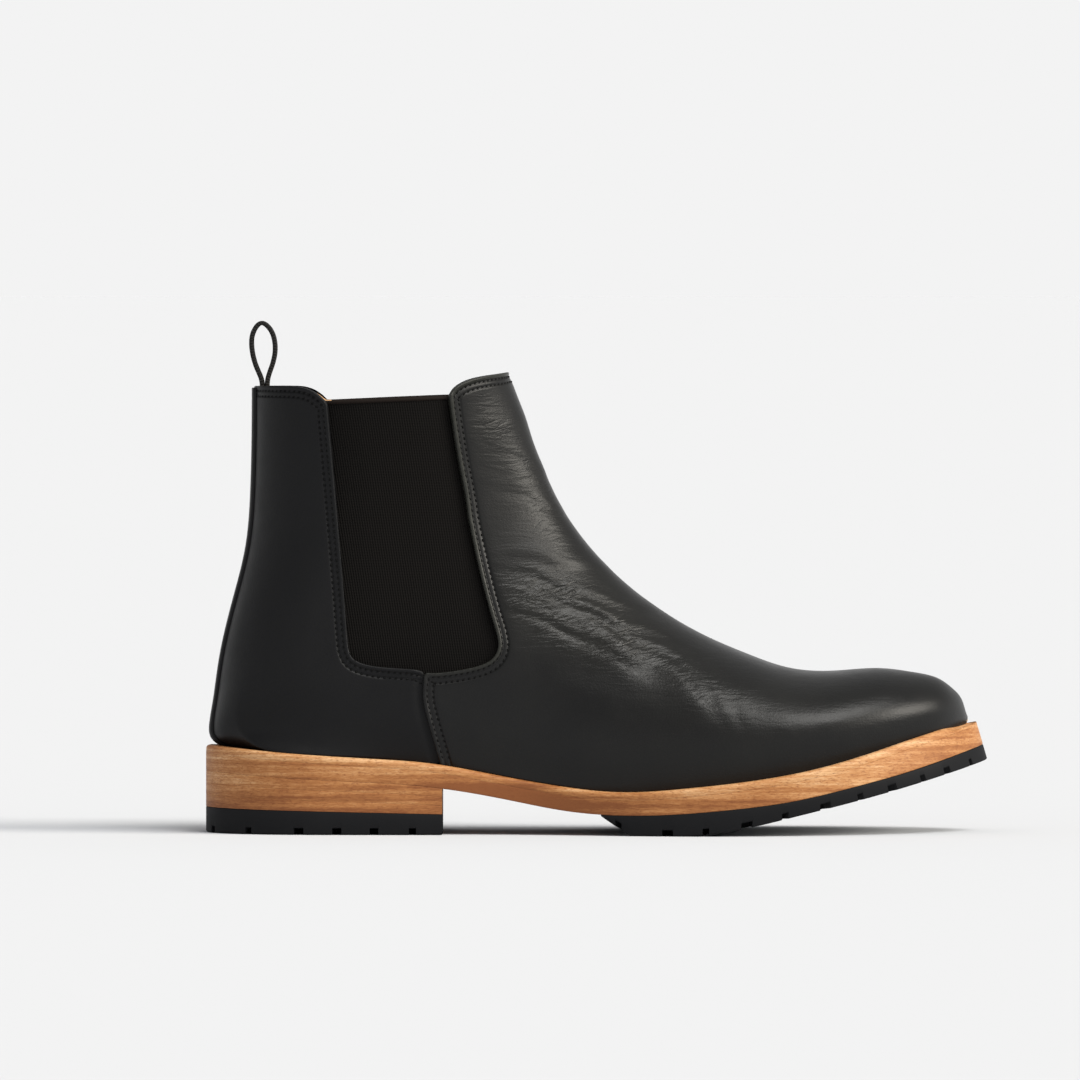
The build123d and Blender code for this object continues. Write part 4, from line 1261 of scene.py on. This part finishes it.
heel_rubber = rubber_layer(
    "heel_rubber", HEEL_NOTCHES, [3.0, 2.8, 4.0, 3.6, 3.4, 2.8],
    heel_rubber_top, lambda x: 0.0 * x + 0.02, True,
)
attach(heel_rubber, boot)
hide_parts("heel_top_piece")
outsole = rubber_layer(
    "outsole_rubber", FOREFOOT_NOTCHES, [2.6, 4.4, 2.6, 4.4, 2.6, 4.2, 2.4, 4.0, 2.4, 3.6, 2.2],
    at(MIDSOLE_BOTTOM), at(RUBBER_BOTTOM), False,
)
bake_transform(outsole)
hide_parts("outsole_front", "outsole_rear")

# welt seam on its upper face
welt_line = ring_points(sole_ring[0], sole_ring[1], WELT_SEAM_INSET, at(WELT_TOP, 0.05))
line = resample(np.vstack([welt_line, welt_line[:1]]), WELT_STITCH_PITCH)
upward = np.array([0, 0, 1.0])
welt_stitches = [
    ((a + b) / 2, (b - a) / np.linalg.norm(b - a), upward) for a, b in zip(line[:-1], line[1:])
]
obj = stitch_mesh("welt_stitching", welt_stitches, WELT_THREAD, length=2.5, radius=0.42, sink=0.42, slant=0.0)
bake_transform(obj)


# ------------------------------------------------
# Pull loop: one folded length of webbing, its ends sewn inside the collar
LOOP_LINE = [
    (-131.2, 160.0), (-131.0, 168.0), (-130.9, 173.0), (-131.1, 176.2), (-132.9, 181.0), (-134.6, 186.5),
    (-135.1, 191.5), (-133.8, 196.6), (-131.2, 198.9), (-128.4, 197.2), (-126.3, 192.8), (-125.9, 188.2),
    (-127.2, 182.0), (-128.9, 176.2), (-129.0, 173.0), (-129.3, 168.0), (-129.8, 160.0),
]


def webbing_loop():
    p = np.array(LOOP_LINE)
    s = arc_length(p)
    at_s = np.linspace(0, s[-1], 160)
    mid = cubic(s, p, at_s)
    d = np.gradient(mid, axis=0)
    d /= np.linalg.norm(d, axis=1, keepdims=True)
    out = np.column_stack([-d[:, 1], d[:, 0]])
    half, width = 0.85, 8.3
    profile = [(-width, -half * 0.5), (-width, half * 0.5), (-width + 0.35, half)]
    ys = np.linspace(-width + 0.35, width - 0.35, 24)
    profile = [(y, half) for y in ys] + [(width, half * 0.45), (width, -half * 0.45)]
    profile += [(y, -half) for y in ys[::-1]] + [(-width, -half * 0.45), (-width, half * 0.45)]
    rows_list, weave = [], []
    for m, o, a in zip(mid, out, at_s):
        rows_list.append([(m[0] + o[0] * h, y, m[1] + o[1] * h) for y, h in profile])
        weave.append([(a, y, 0) for y, h in profile])
    co, quads = sweep(rows_list)
    start, end = range(len(profile)), range(len(co) - len(profile), len(co))
    return co, [*quads[:, [0, 3, 2, 1]], start, end[::-1]], np.array(weave).reshape(-1, 3)


co, faces, weave = webbing_loop()
pull = make("pull_loop_webbing", co, faces, WEBBING, weave=weave)
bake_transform(pull)
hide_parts("pull_loop", "pull_loop_anchor")


# ------------------------------------------------
# Gore top binding: a soft round edge along the top of each gore
for name, sign in (("gore_lateral", -1), ("gore_medial", 1)):
    p, f = side_of(gore_points, gore_faces, sign)
    edges = open_edges(f)
    (x0, z0), (x1, z1) = GORE_TOP
    z_top = z0 + (p["co"][:, 0] - x0) * (z1 - z0) / (x1 - x0)
    near = (np.abs(p["co"][:, 2] - z_top) < 1.2) & (p["co"][:, 0] > -110) & (p["co"][:, 0] < -53)
    edges = edges[near[edges].all(1)]
    run = max(chains(edges), key=len)
    line = resample(p["co"][run], 1.0)
    outward = interpolate(np.linspace(0, 1, len(line)), np.linspace(0, 1, len(run)), p["n"][run])
    turns = [TAU * k / 10 for k in range(10)]
    co, quads = sweep([
        [c - o * 0.5 + o * (0.95 * math.cos(w)) + upward * (0.9 * math.sin(w) - 0.5) for w in turns]
        for c, o in zip(line, outward)
    ])
    obj = make(f"{name}_binding", co, quads, BINDING)
    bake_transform(obj)


# ------------------------------------------------
# Inner layers under the foot: CAD shapes cut finely across so that they can bend at the ball
BEND_CUTS = np.arange(0.015, 0.0735, 0.002)  # metres along X, from before TOE_BEND to past it


def bending_copy(name, nodes, material):
    bm = bmesh.new()
    for node in nodes:
        bm.from_mesh(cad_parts[node].data)
    for x in BEND_CUTS:
        geom = bm.verts[:] + bm.edges[:] + bm.faces[:]
        bmesh.ops.bisect_plane(bm, geom=geom, plane_co=(x, 0, 0), plane_no=(1, 0, 0))
    mesh = bpy.data.meshes.new(name)
    bm.to_mesh(mesh)
    bm.free()
    mesh.materials.clear()
    mesh.materials.append(material)
    for polygon in mesh.polygons:
        polygon.material_index = 0
    obj = bpy.data.objects.new(name, mesh)
    bpy.context.scene.collection.objects.link(obj)
    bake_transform(obj)
    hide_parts(*nodes)
    return obj


bending_copy("sock_liner_leather", ["sock_liner_front", "sock_liner_rear"], LINING)
bending_copy("insole_board_layer", ["insole_board_front", "insole_board_rear"], BOARD)
bending_copy("cork_filler_layer", ["cork_filler_front", "cork_filler_rear"], CORK)

for node, material in (
    ("heel_counter", STIFFENER), ("toe_puff", STIFFENER), ("shank", STEEL), ("heel_nails", STEEL),
):
    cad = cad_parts[node]
    cad.data.materials.clear()
    cad.data.materials.append(material)

# ------------------------------------------------
# Stage, light and camera
BACKGROUND = 0.896
LAMPS = (  # name, strength, angular size, colour, direction it comes from
    ("key", 3.0, 0.54, (1.0, 0.950, 0.860), Vector((0.850, -0.310, 0.500)).normalized()),
    ("top", 2.3, 0.50, (1.0, 0.985, 0.95), Vector((0.30, -0.40, 0.865)).normalized()),
)

ZENITH, BAND_TOP, BAND_END = 0.40, 0.16, 0.46  # the studio is pale round the horizon, dimmer overhead


def sky_on_floor():
    """Light from the studio that falls on the floor, relative to a pure white surround."""
    up = (np.arange(2000) + 0.5) / 2000
    level = BACKGROUND + (ZENITH - BACKGROUND) * smoothstep(up, BAND_TOP, BAND_END)
    return float((2 * up * level).mean())


n = Nodes("stage_floor")
lit = [sum(e * came.z / math.pi * tint[k] for _, e, _, tint, came in LAMPS) for k in range(3)]
pale = [BACKGROUND / (sky_on_floor() + share) for share in lit]
FLOOR = n.finish(Base_Color=(*pale, 1.0), Roughness=1.0, Specular_IOR_Level=0.0)
bpy.ops.mesh.primitive_plane_add(size=400, location=(0, 0, -0.0002))
floor = bpy.context.object
floor.name = "floor"
floor.data.materials.append(FLOOR)

world = bpy.data.worlds.new("studio")
bpy.context.scene.world = world
world.use_nodes = True
sky = world.node_tree
direction = sky.nodes.new("ShaderNodeTexCoord").outputs["Generated"]
height_part = sky.nodes.new("ShaderNodeSeparateXYZ")
level = sky.nodes.new("ShaderNodeMapRange")
level.interpolation_type = "SMOOTHSTEP"
for key_name, value in (
    ("From Min", BAND_TOP), ("From Max", BAND_END), ("To Min", BACKGROUND), ("To Max", ZENITH),
):
    level.inputs[key_name].default_value = value
sky.links.new(direction, height_part.inputs[0])
sky.links.new(height_part.outputs["Z"], level.inputs["Value"])
sky.links.new(level.outputs["Result"], sky.nodes["Background"].inputs["Color"])

for lamp_name, strength, size, tint, came in LAMPS:
    lamp_data = bpy.data.lights.new(lamp_name, "SUN")
    lamp_data.energy = strength
    lamp_data.angle = size
    lamp_data.color = tint
    lamp = bpy.data.objects.new(lamp_name, lamp_data)
    lamp.rotation_mode = "QUATERNION"
    lamp.rotation_quaternion = came.to_track_quat("Z", "Y")
    bpy.context.scene.collection.objects.link(lamp)

VIEW_WIDTH, VIEW_DISTANCE = 0.4226, 5.8
camera_data = bpy.data.cameras.new("camera")
camera_data.lens = camera_data.sensor_width * VIEW_DISTANCE / VIEW_WIDTH
camera_data.clip_end = 1000.0
camera = bpy.data.objects.new("camera", camera_data)
VIEW_PITCH = math.radians(1.0)
AIM = Vector((-0.0223, 0.0, 0.1140))
camera.location = AIM + VIEW_DISTANCE * Vector((0, -math.cos(VIEW_PITCH), math.sin(VIEW_PITCH)))
camera.rotation_euler = (math.pi / 2 - VIEW_PITCH, 0, 0)
bpy.context.scene.collection.objects.link(camera)
bpy.context.scene.camera = camera
bpy.context.scene.view_settings.view_transform = "Standard"
